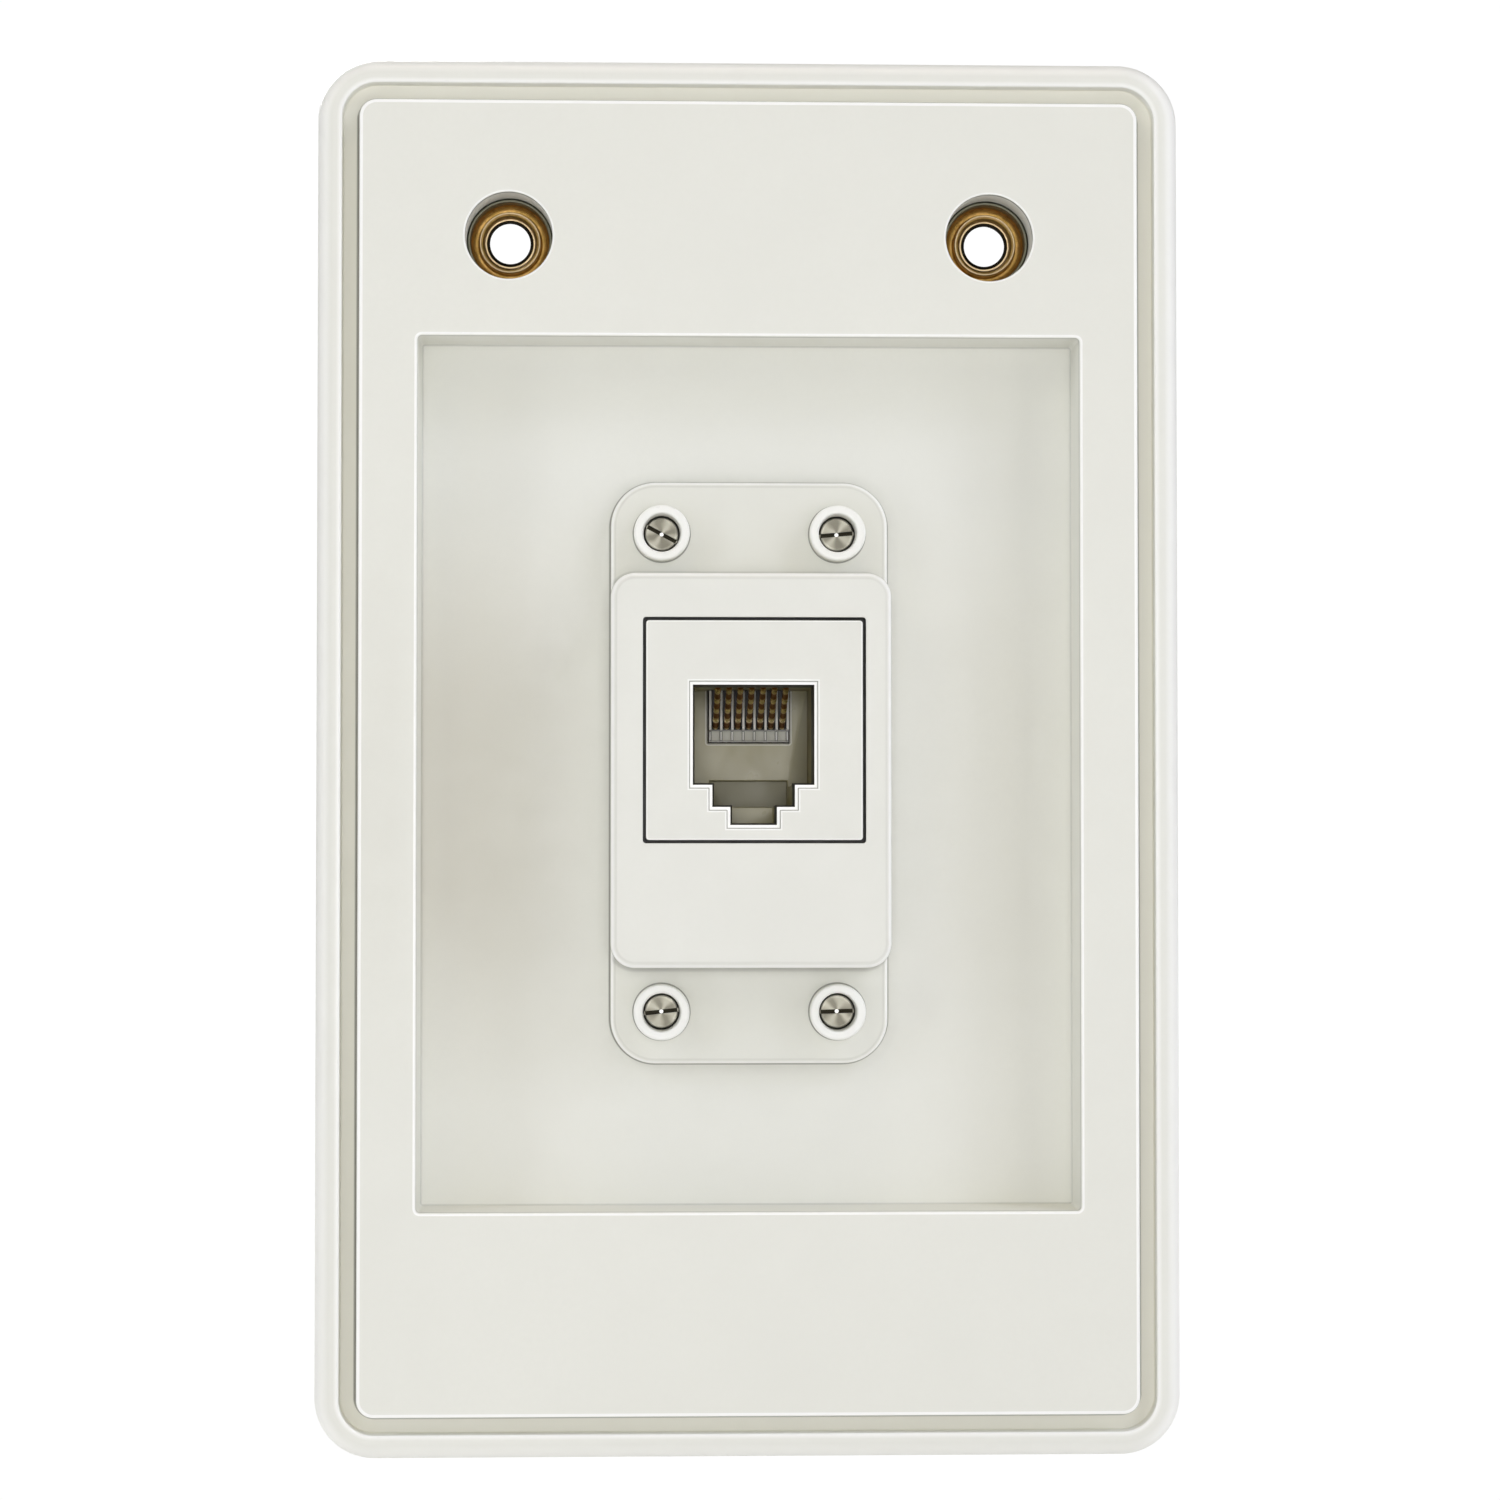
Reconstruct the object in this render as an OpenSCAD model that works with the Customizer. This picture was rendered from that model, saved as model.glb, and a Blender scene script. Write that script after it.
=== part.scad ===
// Telephone wall socket: single-gang surround and panel with a sunken pocket,
// two brass-lined mounting holes and a modular jack block on a screwed bracket.
// Millimetres. +X to the right, +Z up, +Y into the wall. The origin is the
// middle of the plane where the surround meets the wall.

/* [Surround] */
// Overall width of the plate
plate_w = 70.6; // [68:0.1:76]
// Overall height of the plate
plate_h = 114.1; // [112:0.1:122]
// Outer corner radius of the plate
plate_r = 4.9; // [4.7:0.1:7]
// Width of the raised rim
rim_w = 2.05; // [1.9:0.05:2.4]
// Height of the rim above the wall
rim_h = 7.1; // [6.8:0.1:8]
// Rounding of the rim's outer front edge
rim_round = 1.6; // [0.8:0.1:1.6]
// Width of the groove between rim and panel
groove_w = 1.4; // [1:0.1:2]
// Depth of the groove below the rim's crest
groove_d = 1.4; // [1:0.1:1.8]

/* [Panel] */
// Height of the panel's face above the wall
face_h = 7.5; // [7.3:0.1:8.2]
// Rounding of the panel's edge
panel_edge = 0.25; // [0.1:0.05:0.5]
// Width of the sunken pocket at the face
pocket_w = 54.1; // [50:0.1:55]
// Height of the sunken pocket at the face
pocket_h = 71.3; // [64:0.1:72]
// Middle of the pocket below the plate's middle
pocket_drop = 1.4; // [0:0.1:3]
// Depth of the pocket
pocket_d = 5; // [4.6:0.1:5.2]
// Slope of each pocket wall over its depth
pocket_draft = 0.12; // [0.02:0.02:0.4]
// Thickness of the pocket's floor
floor_t = 1.8; // [1.2:0.1:1.8]

/* [Mounting holes] */
// Distance between the two mounting holes
hole_gap = 39.3; // [36:0.1:42]
// Height of the mounting holes above the plate's middle
hole_up = 42.45; // [41:0.05:44]
// Radius of the hole for the wall screw
bore_r = 1.67; // [1.5:0.01:1.8]
// Radius of the counterbore in the panel
sink_r = 3.55; // [3.3:0.05:3.8]

/* [Jack block] */
// Middle of the jack block to the right of the plate's middle
jack_x = 0.1; // [-0.5:0.1:0.5]
// Width of the bracket and of the block on it
block_w = 22.85; // [22.6:0.05:23.6]
// Height of the bracket
bracket_h = 47.9; // [47.5:0.1:49]
// Thickness of the bracket
bracket_t = 1.6; // [1.4:0.1:1.8]
// Corner radius of the bracket
bracket_r = 3.7; // [2:0.1:5]
// Height of the block
block_h = 32.1; // [32:0.1:32.4]
// Front of the block above the wall
block_top = 9.1; // [8.8:0.1:10]
// Distance between the bracket screws, across
screw_dx = 14.45; // [14:0.05:15]
// Distance between the bracket screws, up and down
screw_dy = 39.3; // [39:0.1:40]
// Radius of a screw cup
cup_r = 2.3; // [2.1:0.05:2.5]

/* [Jack] */
// Width of the square insert
insert_w = 17.85; // [17.5:0.05:18]
// Height of the square insert
insert_h = 18.1; // [17.5:0.05:18.3]
// Width of the plug opening
open_w = 9.73; // [9.6:0.01:9.9]
// Height of the plug opening above its steps
open_h = 8; // [7.8:0.05:8.2]
// Distance between neighbouring contacts
contact_pitch = 0.93; // [0.9:0.01:0.96]
// Thickness of a contact wire
wire_d = 0.46; // [0.36:0.02:0.48]

/* [Rear case] */
// Width of the rear case
case_w = 30.8; // [30.4:0.1:34]
// Height of the rear case
case_h = 49.4; // [49:0.1:54]
// How far the rear case reaches behind the wall plane
case_back = 17.2; // [17:0.1:22]
// Distance between neighbouring terminals
term_pitch = 3.5; // [3.5:0.01:3.6]

/* [Hidden] */

white = [0.90, 0.90, 0.86];
taupe = [0.55, 0.53, 0.45];

panel_w = plate_w - 2 * (rim_w + groove_w);
panel_h = plate_h - 2 * (rim_w + groove_w);
panel_r = plate_r - rim_w - groove_w;
groove_h = rim_h - groove_d;              // groove floor above the wall
seat = 1.25;                              // width of the ledge under the panel
ledge_t = 1.5;
skirt_gap = 0.15;
skirt_t = 1.2;
pocket_y = -pocket_drop;
floor_h = face_h - pocket_d;              // pocket floor above the wall
floor_back = floor_h - floor_t;
pocket_wall = 1.6;

flange_seat = 1.0;                        // ferrule flange above the wall
bracket_y = -1.3;
bracket_h0 = floor_h;
bracket_top = bracket_h0 + bracket_t;
cup_top = bracket_top + 1.5;
head_seat = bracket_h0 + 0.5;
head_t = 0.9;
head_r = 1.3;
block_y = -1.21;
block_wall = 1.6;
block_face_t = 1.5;

insert_x = 0.3;
insert_y = 2.03;
insert_gap = 0.2;
insert_back = block_top - 2.5;
open_x = 0.28;
open_top = 5.66;
open_bottom = open_top - open_h;
step1_w = 6.57;
step1_h = 1.79;
step2_w = 3.65;
step2_h = 1.46;

module_back = -5.2;
module_w = 12.4;
cavity_back = -3.2;
ceiling = 5.75;                           // roof of the plug cavity
run_y = 6.75;                             // height of the contacts' straight run
module_roof = 7.2;
comb_w = 6.7;
comb_face = -2.6;
comb_bottom = 1.41;
groove_half = 0.245;                      // half the width of a wire's groove
tip_y = 2.42;                             // lower end of the tips' grooves

board_t = 1.6;
board_back = module_back - board_t;
board_w = 26.6;
board_y = -1.3;
board_h = 33;

case_front = floor_back;
case_wall = 1.6;
case_split = -7.0;                        // joint between housing and cover
case_r = 3;
case_y = bracket_y;
lid_wall = 1.5;
lid_screw = [11.7, 21];                   // lid screws in two opposite corners

term_w = 25.8;
term_y0 = -16;
term_d = 7.6;
term_back = -15.3;
term_screw_y = -12.6;
clamp_h0 = -12;
clamp_h1 = -9;

// ---- helpers --------------------------------------------------------------

// Everything is drawn face up, with height above the wall along Z, and stood up here
module upright() rotate([90, 0, 0]) children();

module rrect(w, h, r) {
    square([w - 2 * r, h], center = true);
    square([w, h - 2 * r], center = true);
    for (sx = [-1, 1], sy = [-1, 1])
        translate([sx * (w / 2 - r), sy * (h / 2 - r)]) circle(r = r, $fn = 64);
}

module slab(w, h, r, z0, z1) translate([0, 0, z0]) linear_extrude(z1 - z0) rrect(w, h, r);

module box(x0, x1, y0, y1, z0, z1) translate([x0, y0, z0]) cube([x1 - x0, y1 - y0, z1 - z0]);

module rod(r, z0, z1) translate([0, 0, z0]) cylinder(r = r, h = z1 - z0, $fn = 64);

// A profile led round a rounded rectangle; its x is counted from the corner's centre
module led_round(w, h, r) {
    for (a = [0, 180]) rotate([0, 0, a]) {
        translate([w / 2 - r, h / 2 - r, 0]) rotate_extrude(angle = 90, $fn = 96) children();
        translate([w / 2 - r, h / 2 - r, 0]) rotate([90, 0, 0]) linear_extrude(h - 2 * r) children();
    }
    for (a = [90, 270]) rotate([0, 0, a]) {
        translate([h / 2 - r, w / 2 - r, 0]) rotate_extrude(angle = 90, $fn = 96) children();
        translate([h / 2 - r, w / 2 - r, 0]) rotate([90, 0, 0]) linear_extrude(w - 2 * r) children();
    }
}

// Quarter disc that fills the corner between a wall and a top, rounding it
module quarter(u, v, r, inward = false) intersection() {
    translate([u, v]) circle(r = r, $fn = 64);
    translate([inward ? u - r : u, v]) square(r);
}

// Plate with a rounded front edge
module pillow(w, h, r, z0, z1, edge) {
    slab(w, h, r, z0, z1 - edge);
    slab(w - 2 * edge, h - 2 * edge, r - edge, z1 - edge, z1);
    led_round(w, h, r) quarter(r - edge, z1 - edge, edge);
}

// The plug opening's outline: a rectangle with two steps for the latch
module plug_outline(grow = 0) translate([open_x, 0]) {
    translate([-open_w / 2 - grow, open_bottom - grow]) square([open_w + 2 * grow, open_h + 2 * grow]);
    translate([-step1_w / 2 - grow, open_bottom - step1_h - grow]) square([step1_w + 2 * grow, step1_h + 1]);
    translate([-step2_w / 2 - grow, open_bottom - step1_h - step2_h - grow])
        square([step2_w + 2 * grow, step2_h + 1]);
}

module at_screws() for (sx = [-1, 1], sy = [-1, 1])
    translate([jack_x + sx * screw_dx / 2, bracket_y + sy * screw_dy / 2, 0]) children();

function contact_x(i) = open_x + (i - 4) * contact_pitch;
function term_x(i) = jack_x + (i - 4) * term_pitch;

// ---- plate ----------------------------------------------------------------

module surround_profile() {
    ui = plate_r - rim_w;
    uf = plate_r - rim_round;
    lip = 0.2;
    translate([ui, 0]) square([rim_w, rim_h - rim_round]);
    translate([ui, 0]) square([uf - ui, rim_h - lip]);
    translate([ui + lip, 0]) square([uf - ui - lip, rim_h]);
    quarter(uf, rim_h - rim_round, rim_round);
    quarter(ui + lip, rim_h - lip, lip, true);
    translate([ui - groove_w - seat, groove_h - ledge_t]) square([groove_w + seat + 0.1, ledge_t]);
}

// Outer trim ring: rounded rim, groove and the ledge that the panel sits on
module surround_frame() color(white) upright() led_round(plate_w, plate_h, plate_r) surround_profile();

module panel_ribs() {
    top0 = pocket_y + pocket_h / 2 + pocket_wall - 0.2;
    bot0 = pocket_y - pocket_h / 2 - pocket_wall + 0.2;
    sk = panel_h / 2 - seat - skirt_gap - skirt_t + 0.2;
    for (x = [-9, 0, 9]) box(x - 0.6, x + 0.6, top0, sk, 1.2, groove_h);
    box(-hole_gap / 2, hole_gap / 2, hole_up - 0.6, hole_up + 0.6, 1.2, groove_h);
    for (x = [-27, -18, -9, 0, 9, 18, 27]) box(x - 0.6, x + 0.6, -sk, bot0, 1.2, groove_h);
}

// Front panel: flat face with a sunken pocket, counterbored holes and a window for the jack
module front_panel() color(white) upright() difference() {
    union() {
        pillow(panel_w, panel_h, panel_r, groove_h, face_h, panel_edge);
        // locating skirt inside the surround's ledge
        difference() {
            slab(panel_w - 2 * (seat + skirt_gap), panel_h - 2 * (seat + skirt_gap), 1, 3.2, groove_h);
            slab(panel_w - 2 * (seat + skirt_gap + skirt_t), panel_h - 2 * (seat + skirt_gap + skirt_t), 0.6,
                 3, groove_h);
        }
        // walls and floor of the pocket
        translate([0, pocket_y, 0])
            slab(pocket_w + 2 * pocket_wall, pocket_h + 2 * pocket_wall, 1.2, floor_back, groove_h);
        // bosses round the mounting holes reach back to the wall
        for (s = [-1, 1]) translate([s * hole_gap / 2, hole_up, 0]) rod(sink_r + 1.4, 0, groove_h);
        panel_ribs();
    }
    // pocket with sloping walls
    hull() {
        translate([0, pocket_y, face_h + 0.5]) linear_extrude(0.1)
            square([pocket_w + 0.2 * pocket_draft, pocket_h + 0.2 * pocket_draft], center = true);
        translate([0, pocket_y, floor_h]) linear_extrude(0.01)
            square([pocket_w - 2 * pocket_draft, pocket_h - 2 * pocket_draft], center = true);
    }
    for (s = [-1, 1]) translate([s * hole_gap / 2, hole_up, 0]) {
        rod(sink_r, flange_seat, face_h + 1);
        rod(2.65, -1, flange_seat + 0.1);
    }
    box(jack_x - 9.6, jack_x + 9.6, -16.9, 14.4, floor_back - 1, floor_h + 1);
    at_screws() rod(1.15, floor_back - 1, floor_h + 1);
}

// Turned brass cup with a raised collar round the wall screw's hole
module ferrule() rotate_extrude($fn = 96) {
    translate([bore_r, 0]) square([2.6 - bore_r, flange_seat]);
    translate([bore_r, flange_seat]) square([sink_r - 0.03 - bore_r, 0.6]);
    translate([sink_r - 0.3, flange_seat + 0.5]) square([0.27, face_h - 3.2 - flange_seat - 0.5]);
    translate([bore_r, flange_seat + 0.5]) square([0.46, 1.8]);
    translate([bore_r + 0.4, flange_seat + 0.5]) square([0.43, 1.95]);
    translate([bore_r + 0.46, flange_seat + 2.45]) circle(r = 0.37, $fn = 48);
}

module ferrule_left() color("goldenrod") upright() translate([-hole_gap / 2, hole_up, 0]) ferrule();

module ferrule_right() color("goldenrod") upright() translate([hole_gap / 2, hole_up, 0]) ferrule();

// ---- bracket and block ----------------------------------------------------

// Raised plate on the pocket floor with a cup round each screw
module bracket_plate() color(white) upright() difference() {
    union() {
        translate([jack_x, bracket_y, 0]) pillow(block_w, bracket_h, bracket_r, bracket_h0, bracket_top, 0.5);
        at_screws() {
            rod(cup_r, bracket_h0, cup_top - 0.2);
            translate([0, 0, cup_top - 0.2]) cylinder(r1 = cup_r, r2 = cup_r - 0.2, h = 0.2, $fn = 64);
        }
    }
    at_screws() {
        translate([0, 0, cup_top - 1.3]) cylinder(r1 = 1.6, r2 = 1.95, h = 1.31, $fn = 64);
        rod(1.56, head_seat, cup_top - 1.2);
        rod(1.1, bracket_h0 - 1, head_seat + 0.1);
    }
    box(jack_x - 9, jack_x + 9, -15.72, 13.3, bracket_h0 - 1, bracket_top + 1);
}

// Slotted screw; its head sits at the bottom of the cup
module bracket_screw(turn) {
    difference() {
        union() {
            rod(head_r, head_seat, head_seat + head_t - 0.15);
            translate([0, 0, head_seat + head_t - 0.15])
                cylinder(r1 = head_r, r2 = head_r - 0.15, h = 0.15, $fn = 64);
        }
        rotate([0, 0, turn]) box(-2, 2, -0.16, 0.16, head_seat + head_t - 0.4, head_seat + head_t + 1);
    }
    rod(1.0, -3.2, head_seat);
    translate([0, 0, -3.8]) cylinder(r1 = 0.4, r2 = 1.0, h = 0.6, $fn = 64);
}

module bracket_screws() color("silver") upright() {
    turns = [[6, -28], [2, 5]];
    for (ix = [0, 1], iy = [0, 1])
        translate([jack_x + (ix - 0.5) * screw_dx, bracket_y + (iy - 0.5) * screw_dy, 0])
            bracket_screw(turns[ix][iy]);
}

// Leg with a hook that snaps behind the bracket
module snap_leg(y0, way) {
    a = way > 0 ? y0 - 1.2 : y0;
    box(jack_x - 4, jack_x + 4, a, a + 1.2, bracket_h0 - 0.9, block_top - block_face_t + 0.2);
    b = way > 0 ? y0 - 0.2 : y0 - 0.74;
    box(jack_x - 4, jack_x + 4, b, b + 0.94, bracket_h0 - 0.9, bracket_h0 - 0.1);
}

// Block on the bracket: a hollow cap with a square window
module jack_cover() color(white) upright() {
    difference() {
        translate([jack_x, block_y, 0]) pillow(block_w, block_h, 2, bracket_top, block_top, 0.6);
        translate([jack_x, block_y, 0])
            slab(block_w - 2 * block_wall, block_h - 2 * block_wall, 0.6, bracket_top - 1,
                 block_top - block_face_t);
        box(insert_x - insert_w / 2 - insert_gap, insert_x + insert_w / 2 + insert_gap,
            insert_y - insert_h / 2 - insert_gap, insert_y + insert_h / 2 + insert_gap, bracket_top, block_top + 1);
    }
    snap_leg(block_y + block_h / 2 - block_wall, 1);
    snap_leg(block_y - block_h / 2 + block_wall, -1);
}

// ---- jack -----------------------------------------------------------------

// Square bezel with the stepped plug opening, held by a flange behind the window
module jack_insert() color(white) upright() difference() {
    union() {
        translate([insert_x, insert_y, 0]) slab(insert_w, insert_h, 0.3, insert_back, block_top);
        translate([insert_x, insert_y, 0])
            slab(insert_w + 0.9, insert_h + 0.8, 0.3, insert_back, block_top - block_face_t);
    }
    translate([0, 0, insert_back - 1]) linear_extrude(5) plug_outline();
    // shallow rebate along the top and the sides of the opening
    box(open_x - open_w / 2 - 0.3, open_x + open_w / 2 + 0.3, open_bottom, open_top + 0.3,
        block_top - 0.18, block_top + 1);
}

// Body of the modular jack, with the plug cavity and grooves for the contacts in its roof
module jack_module() color(taupe) upright() {
    difference() {
        translate([open_x, 0, 0])
            box(-module_w / 2, module_w / 2, -6.9, module_roof, module_back, insert_back);
        // plug cavity
        box(open_x - open_w / 2 - 0.12, open_x + open_w / 2 + 0.12, open_bottom - 0.05, ceiling, cavity_back,
            insert_back + 1);
        // room for the latch: a deeper step and a shallower notch
        box(open_x - step1_w / 2, open_x + step1_w / 2, open_bottom - step1_h, open_bottom + 0.5,
            cavity_back - 1, insert_back + 1);
        box(open_x - step2_w / 2 - 0.1, open_x + step2_w / 2 + 0.1, open_bottom - step1_h - step2_h - 0.1,
            open_bottom, 0.5, insert_back + 1);
        // grooves for the straight runs of the contacts
        for (i = [1:7]) box(contact_x(i) - groove_half, contact_x(i) + groove_half, run_y - groove_half,
                            module_roof + 1, module_back - 1, insert_back - 0.4);
        // slot in the roof where the contacts turn down into the cavity
        box(open_x - comb_w / 2, open_x + comb_w / 2, ceiling - 0.5, module_roof + 1, 4.4, insert_back - 0.4);
        // window in the back wall for the comb
        box(open_x - comb_w / 2 - 0.05, open_x + comb_w / 2 + 0.05, comb_bottom - 0.05, module_roof + 1,
            module_back - 1, comb_face + 0.05);
    }
    // pegs in the circuit board
    for (s = [-1, 1]) translate([open_x + s * 4.2, -5, 0]) rod(0.8, board_back + 0.2, module_back);
}

// Comb that holds the contacts: a lid over their runs and a toothed plate in the back wall
module contact_carrier() color([0.8, 0.79, 0.74]) upright() difference() {
    union() {
        box(open_x - comb_w / 2, open_x + comb_w / 2, module_roof, module_roof + 1, module_back, 4.2);
        box(open_x - comb_w / 2, open_x + comb_w / 2, comb_bottom, module_roof + 0.5, module_back, comb_face);
        // teeth between the contact tips
        for (i = [0:7]) box(contact_x(i) + contact_pitch / 2 - 0.1, contact_x(i) + contact_pitch / 2 + 0.1,
                            tip_y, ceiling - 0.05, comb_face - 1, comb_face + 0.8);
    }
    for (i = [1:7]) {
        // groove for the tip
        box(contact_x(i) - 0.36, contact_x(i) + 0.36, tip_y, ceiling, comb_face - 0.9, comb_face + 1);
        // passage for the straight run
        box(contact_x(i) - groove_half, contact_x(i) + groove_half, run_y - groove_half, module_roof,
            module_back - 1, comb_face + 1);
        // small window under the tip
        box(contact_x(i) - 0.34, contact_x(i) + 0.34, comb_bottom + 0.1, tip_y - 0.1, comb_face - 0.35,
            comb_face + 1);
    }
}

// Spring wire: straight run over the cavity, a turn at the front, and a slope down into the comb
module contact(i) color("gold") upright() translate([contact_x(i), 0, 0]) {
    r = wire_d / 2;
    bend = 0.55;
    fall = asin(0.352);
    z1 = 5.2;
    slope = 8.6;
    tail = -7.6;
    translate([0, run_y, tail]) cylinder(r = r, h = z1 - tail, $fn = 32);
    // half turn about an axis across the wire, cut short where the slope starts
    difference() {
        translate([0, run_y - bend, z1]) rotate([90, 0, 90])
            rotate_extrude(angle = 180, $fn = 48) translate([bend, 0]) circle(r = r, $fn = 32);
        translate([0, run_y - bend, z1]) rotate([-fall, 0, 0]) box(-1, 1, -2, 0, -2, 0);
    }
    translate([0, run_y - bend, z1]) rotate([-fall, 0, 0]) translate([0, -bend, -slope])
        cylinder(r = r, h = slope, $fn = 32);
}

module contact_1() contact(1);
module contact_2() contact(2);
module contact_3() contact(3);
module contact_4() contact(4);
module contact_5() contact(5);
module contact_6() contact(6);
module contact_7() contact(7);

// ---- inside the rear case -------------------------------------------------

// Circuit board with holes for the contact tails, the terminal pins and the module's pegs
module circuit_board() color("seagreen") upright() difference() {
    translate([jack_x, board_y, 0]) slab(board_w, board_h, 1, board_back, module_back);
    for (i = [1:7]) {
        translate([contact_x(i), run_y, 0]) rod(0.34, board_back - 1, module_back + 1);
        translate([term_x(i), term_screw_y, 0]) rod(0.65, board_back - 1, module_back + 1);
    }
    for (s = [-1, 1]) translate([open_x + s * 4.2, -5, 0]) rod(0.85, board_back - 1, module_back + 1);
}

// Seven-way terminal body: wires enter from below, screws are reached from behind
module terminal_block() color("darkgreen") upright() difference() {
    box(jack_x - term_w / 2, jack_x + term_w / 2, term_y0, term_y0 + term_d, term_back, board_back);
    for (i = [1:7]) {
        box(term_x(i) - 1.3, term_x(i) + 1.3, term_y0 - 1, term_y0 + 5.8, clamp_h0, clamp_h1);
        translate([term_x(i), term_screw_y, 0]) rod(1.5, term_back - 1, clamp_h0 + 0.1);
        box(term_x(i) - 0.4, term_x(i) + 0.4, term_screw_y - 0.4, term_screw_y + 0.4, clamp_h1 - 0.5,
            board_back + 1);
    }
}

// Clamp cages with a solder pin each
module terminal_clamps() color("silver") upright() for (i = [1:7]) difference() {
    union() {
        box(term_x(i) - 1.3, term_x(i) + 1.3, term_y0 + 1.2, term_y0 + 5.8, clamp_h0, clamp_h1);
        box(term_x(i) - 0.4, term_x(i) + 0.4, term_screw_y - 0.4, term_screw_y + 0.4, clamp_h1 - 0.2, -4.4);
    }
    box(term_x(i) - 0.85, term_x(i) + 0.85, term_y0, term_y0 + 7, clamp_h0 + 0.5, clamp_h1 - 0.5);
    translate([term_x(i), term_screw_y, 0]) rod(0.93, clamp_h0 - 1, clamp_h0 + 1.6);
}

// Clamp screws
module terminal_screws() color("silver") upright() for (i = [1:7]) translate([term_x(i), term_screw_y, 0]) {
    rod(0.9, clamp_h0, clamp_h0 + 1.3);
    difference() {
        rod(1.35, clamp_h0 - 1.1, clamp_h0);
        rotate([0, 0, 25 * i]) box(-2, 2, -0.2, 0.2, clamp_h0 - 2, clamp_h0 - 0.6);
    }
}

// ---- rear case ------------------------------------------------------------

module at_lid_screws() for (s = [-1, 1])
    translate([jack_x + s * lid_screw[0], case_y + s * lid_screw[1], 0]) children();

// Housing behind the panel: takes the bracket screws and holds the circuit board
module rear_housing() color(white) upright() difference() {
    union() {
        difference() {
            translate([jack_x, case_y, 0]) slab(case_w, case_h, case_r, case_split, case_front);
            translate([jack_x, case_y, 0])
                slab(case_w - 2 * case_wall, case_h - 2 * case_wall, case_r - case_wall, case_split - 1,
                     case_front - 1.2);
        }
        at_screws() rod(2.5, -5, case_front - 0.5);
        at_lid_screws() rod(2.3, case_split, case_front - 0.5);
        // posts under the circuit board
        for (sx = [-1, 1], y = [12.7, -15.3]) translate([jack_x + sx * 11.2, y, 0])
            rod(1.6, module_back, case_front - 0.5);
    }
    box(jack_x - 9.6, jack_x + 9.6, -16.9, 14.4, case_front - 2, case_front + 1);
    at_screws() rod(1.0, -4.2, case_front + 1);
    at_lid_screws() rod(1.0, case_split - 1, -2.2);
}

// Back lid over the terminals, with a cable slot below and holes for a screwdriver
module rear_cover() color(white) upright() difference() {
    union() {
        difference() {
            translate([jack_x, case_y, 0]) slab(case_w, case_h, case_r, -case_back, case_split);
            translate([jack_x, case_y, 0])
                slab(case_w - 2 * lid_wall, case_h - 2 * lid_wall, case_r - lid_wall, -case_back + lid_wall,
                     case_split + 1);
        }
        at_lid_screws() rod(2.9, -case_back + 0.5, case_split);
        // posts that hold the circuit board down
        for (sx = [-1, 1], y = [12.7, -5.5]) translate([jack_x + sx * 11.2, y, 0])
            rod(1.4, -case_back + 0.5, board_back);
    }
    at_lid_screws() {
        rod(1.2, -case_back - 1, case_split + 1);
        rod(2.1, -case_back - 1, -9);
    }
    for (i = [1:7]) translate([term_x(i), term_screw_y, 0]) rod(1.45, -case_back - 1, -case_back + lid_wall + 1);
    // cable slot
    box(jack_x - 9, jack_x + 9, case_y - case_h / 2 - 1, case_y - case_h / 2 + lid_wall + 0.2, -13.8, -8.6);
}

// Screws of the lid
module rear_cover_screws() color("silver") upright() at_lid_screws() {
    difference() {
        union() {
            rod(1.9, -10.1, -9);
            translate([0, 0, -10.4]) cylinder(r1 = 1.6, r2 = 1.9, h = 0.3, $fn = 64);
        }
        for (a = [20, 110]) rotate([0, 0, a]) box(-1.2, 1.2, -0.25, 0.25, -11, -9.6);
    }
    rod(1.0, -9, -3.4);
    translate([0, 0, -3.4]) cylinder(r1 = 1.0, r2 = 0.4, h = 0.6, $fn = 64);
}

surround_frame();
front_panel();
ferrule_left();
ferrule_right();
bracket_plate();
bracket_screws();
jack_cover();
jack_insert();
jack_module();
contact_carrier();
contact_1();
contact_2();
contact_3();
contact_4();
contact_5();
contact_6();
contact_7();
circuit_board();
terminal_block();
terminal_clamps();
terminal_screws();
rear_housing();
rear_cover();
rear_cover_screws();
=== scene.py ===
import math

import bmesh
import bpy
from mathutils import Matrix, Vector
from mathutils.geometry import delaunay_2d_cdt


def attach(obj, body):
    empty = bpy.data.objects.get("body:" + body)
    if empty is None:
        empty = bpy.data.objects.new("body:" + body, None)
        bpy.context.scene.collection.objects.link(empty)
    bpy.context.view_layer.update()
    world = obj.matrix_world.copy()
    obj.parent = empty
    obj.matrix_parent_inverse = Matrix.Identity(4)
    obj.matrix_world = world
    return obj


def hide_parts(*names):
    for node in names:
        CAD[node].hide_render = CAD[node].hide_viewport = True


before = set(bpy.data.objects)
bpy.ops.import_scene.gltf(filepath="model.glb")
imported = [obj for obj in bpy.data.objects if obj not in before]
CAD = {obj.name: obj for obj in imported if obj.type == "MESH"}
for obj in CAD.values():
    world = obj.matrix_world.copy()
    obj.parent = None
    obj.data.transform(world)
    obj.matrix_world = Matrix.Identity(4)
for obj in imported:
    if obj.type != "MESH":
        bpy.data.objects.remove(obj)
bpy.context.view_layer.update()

MM = 0.001

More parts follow.
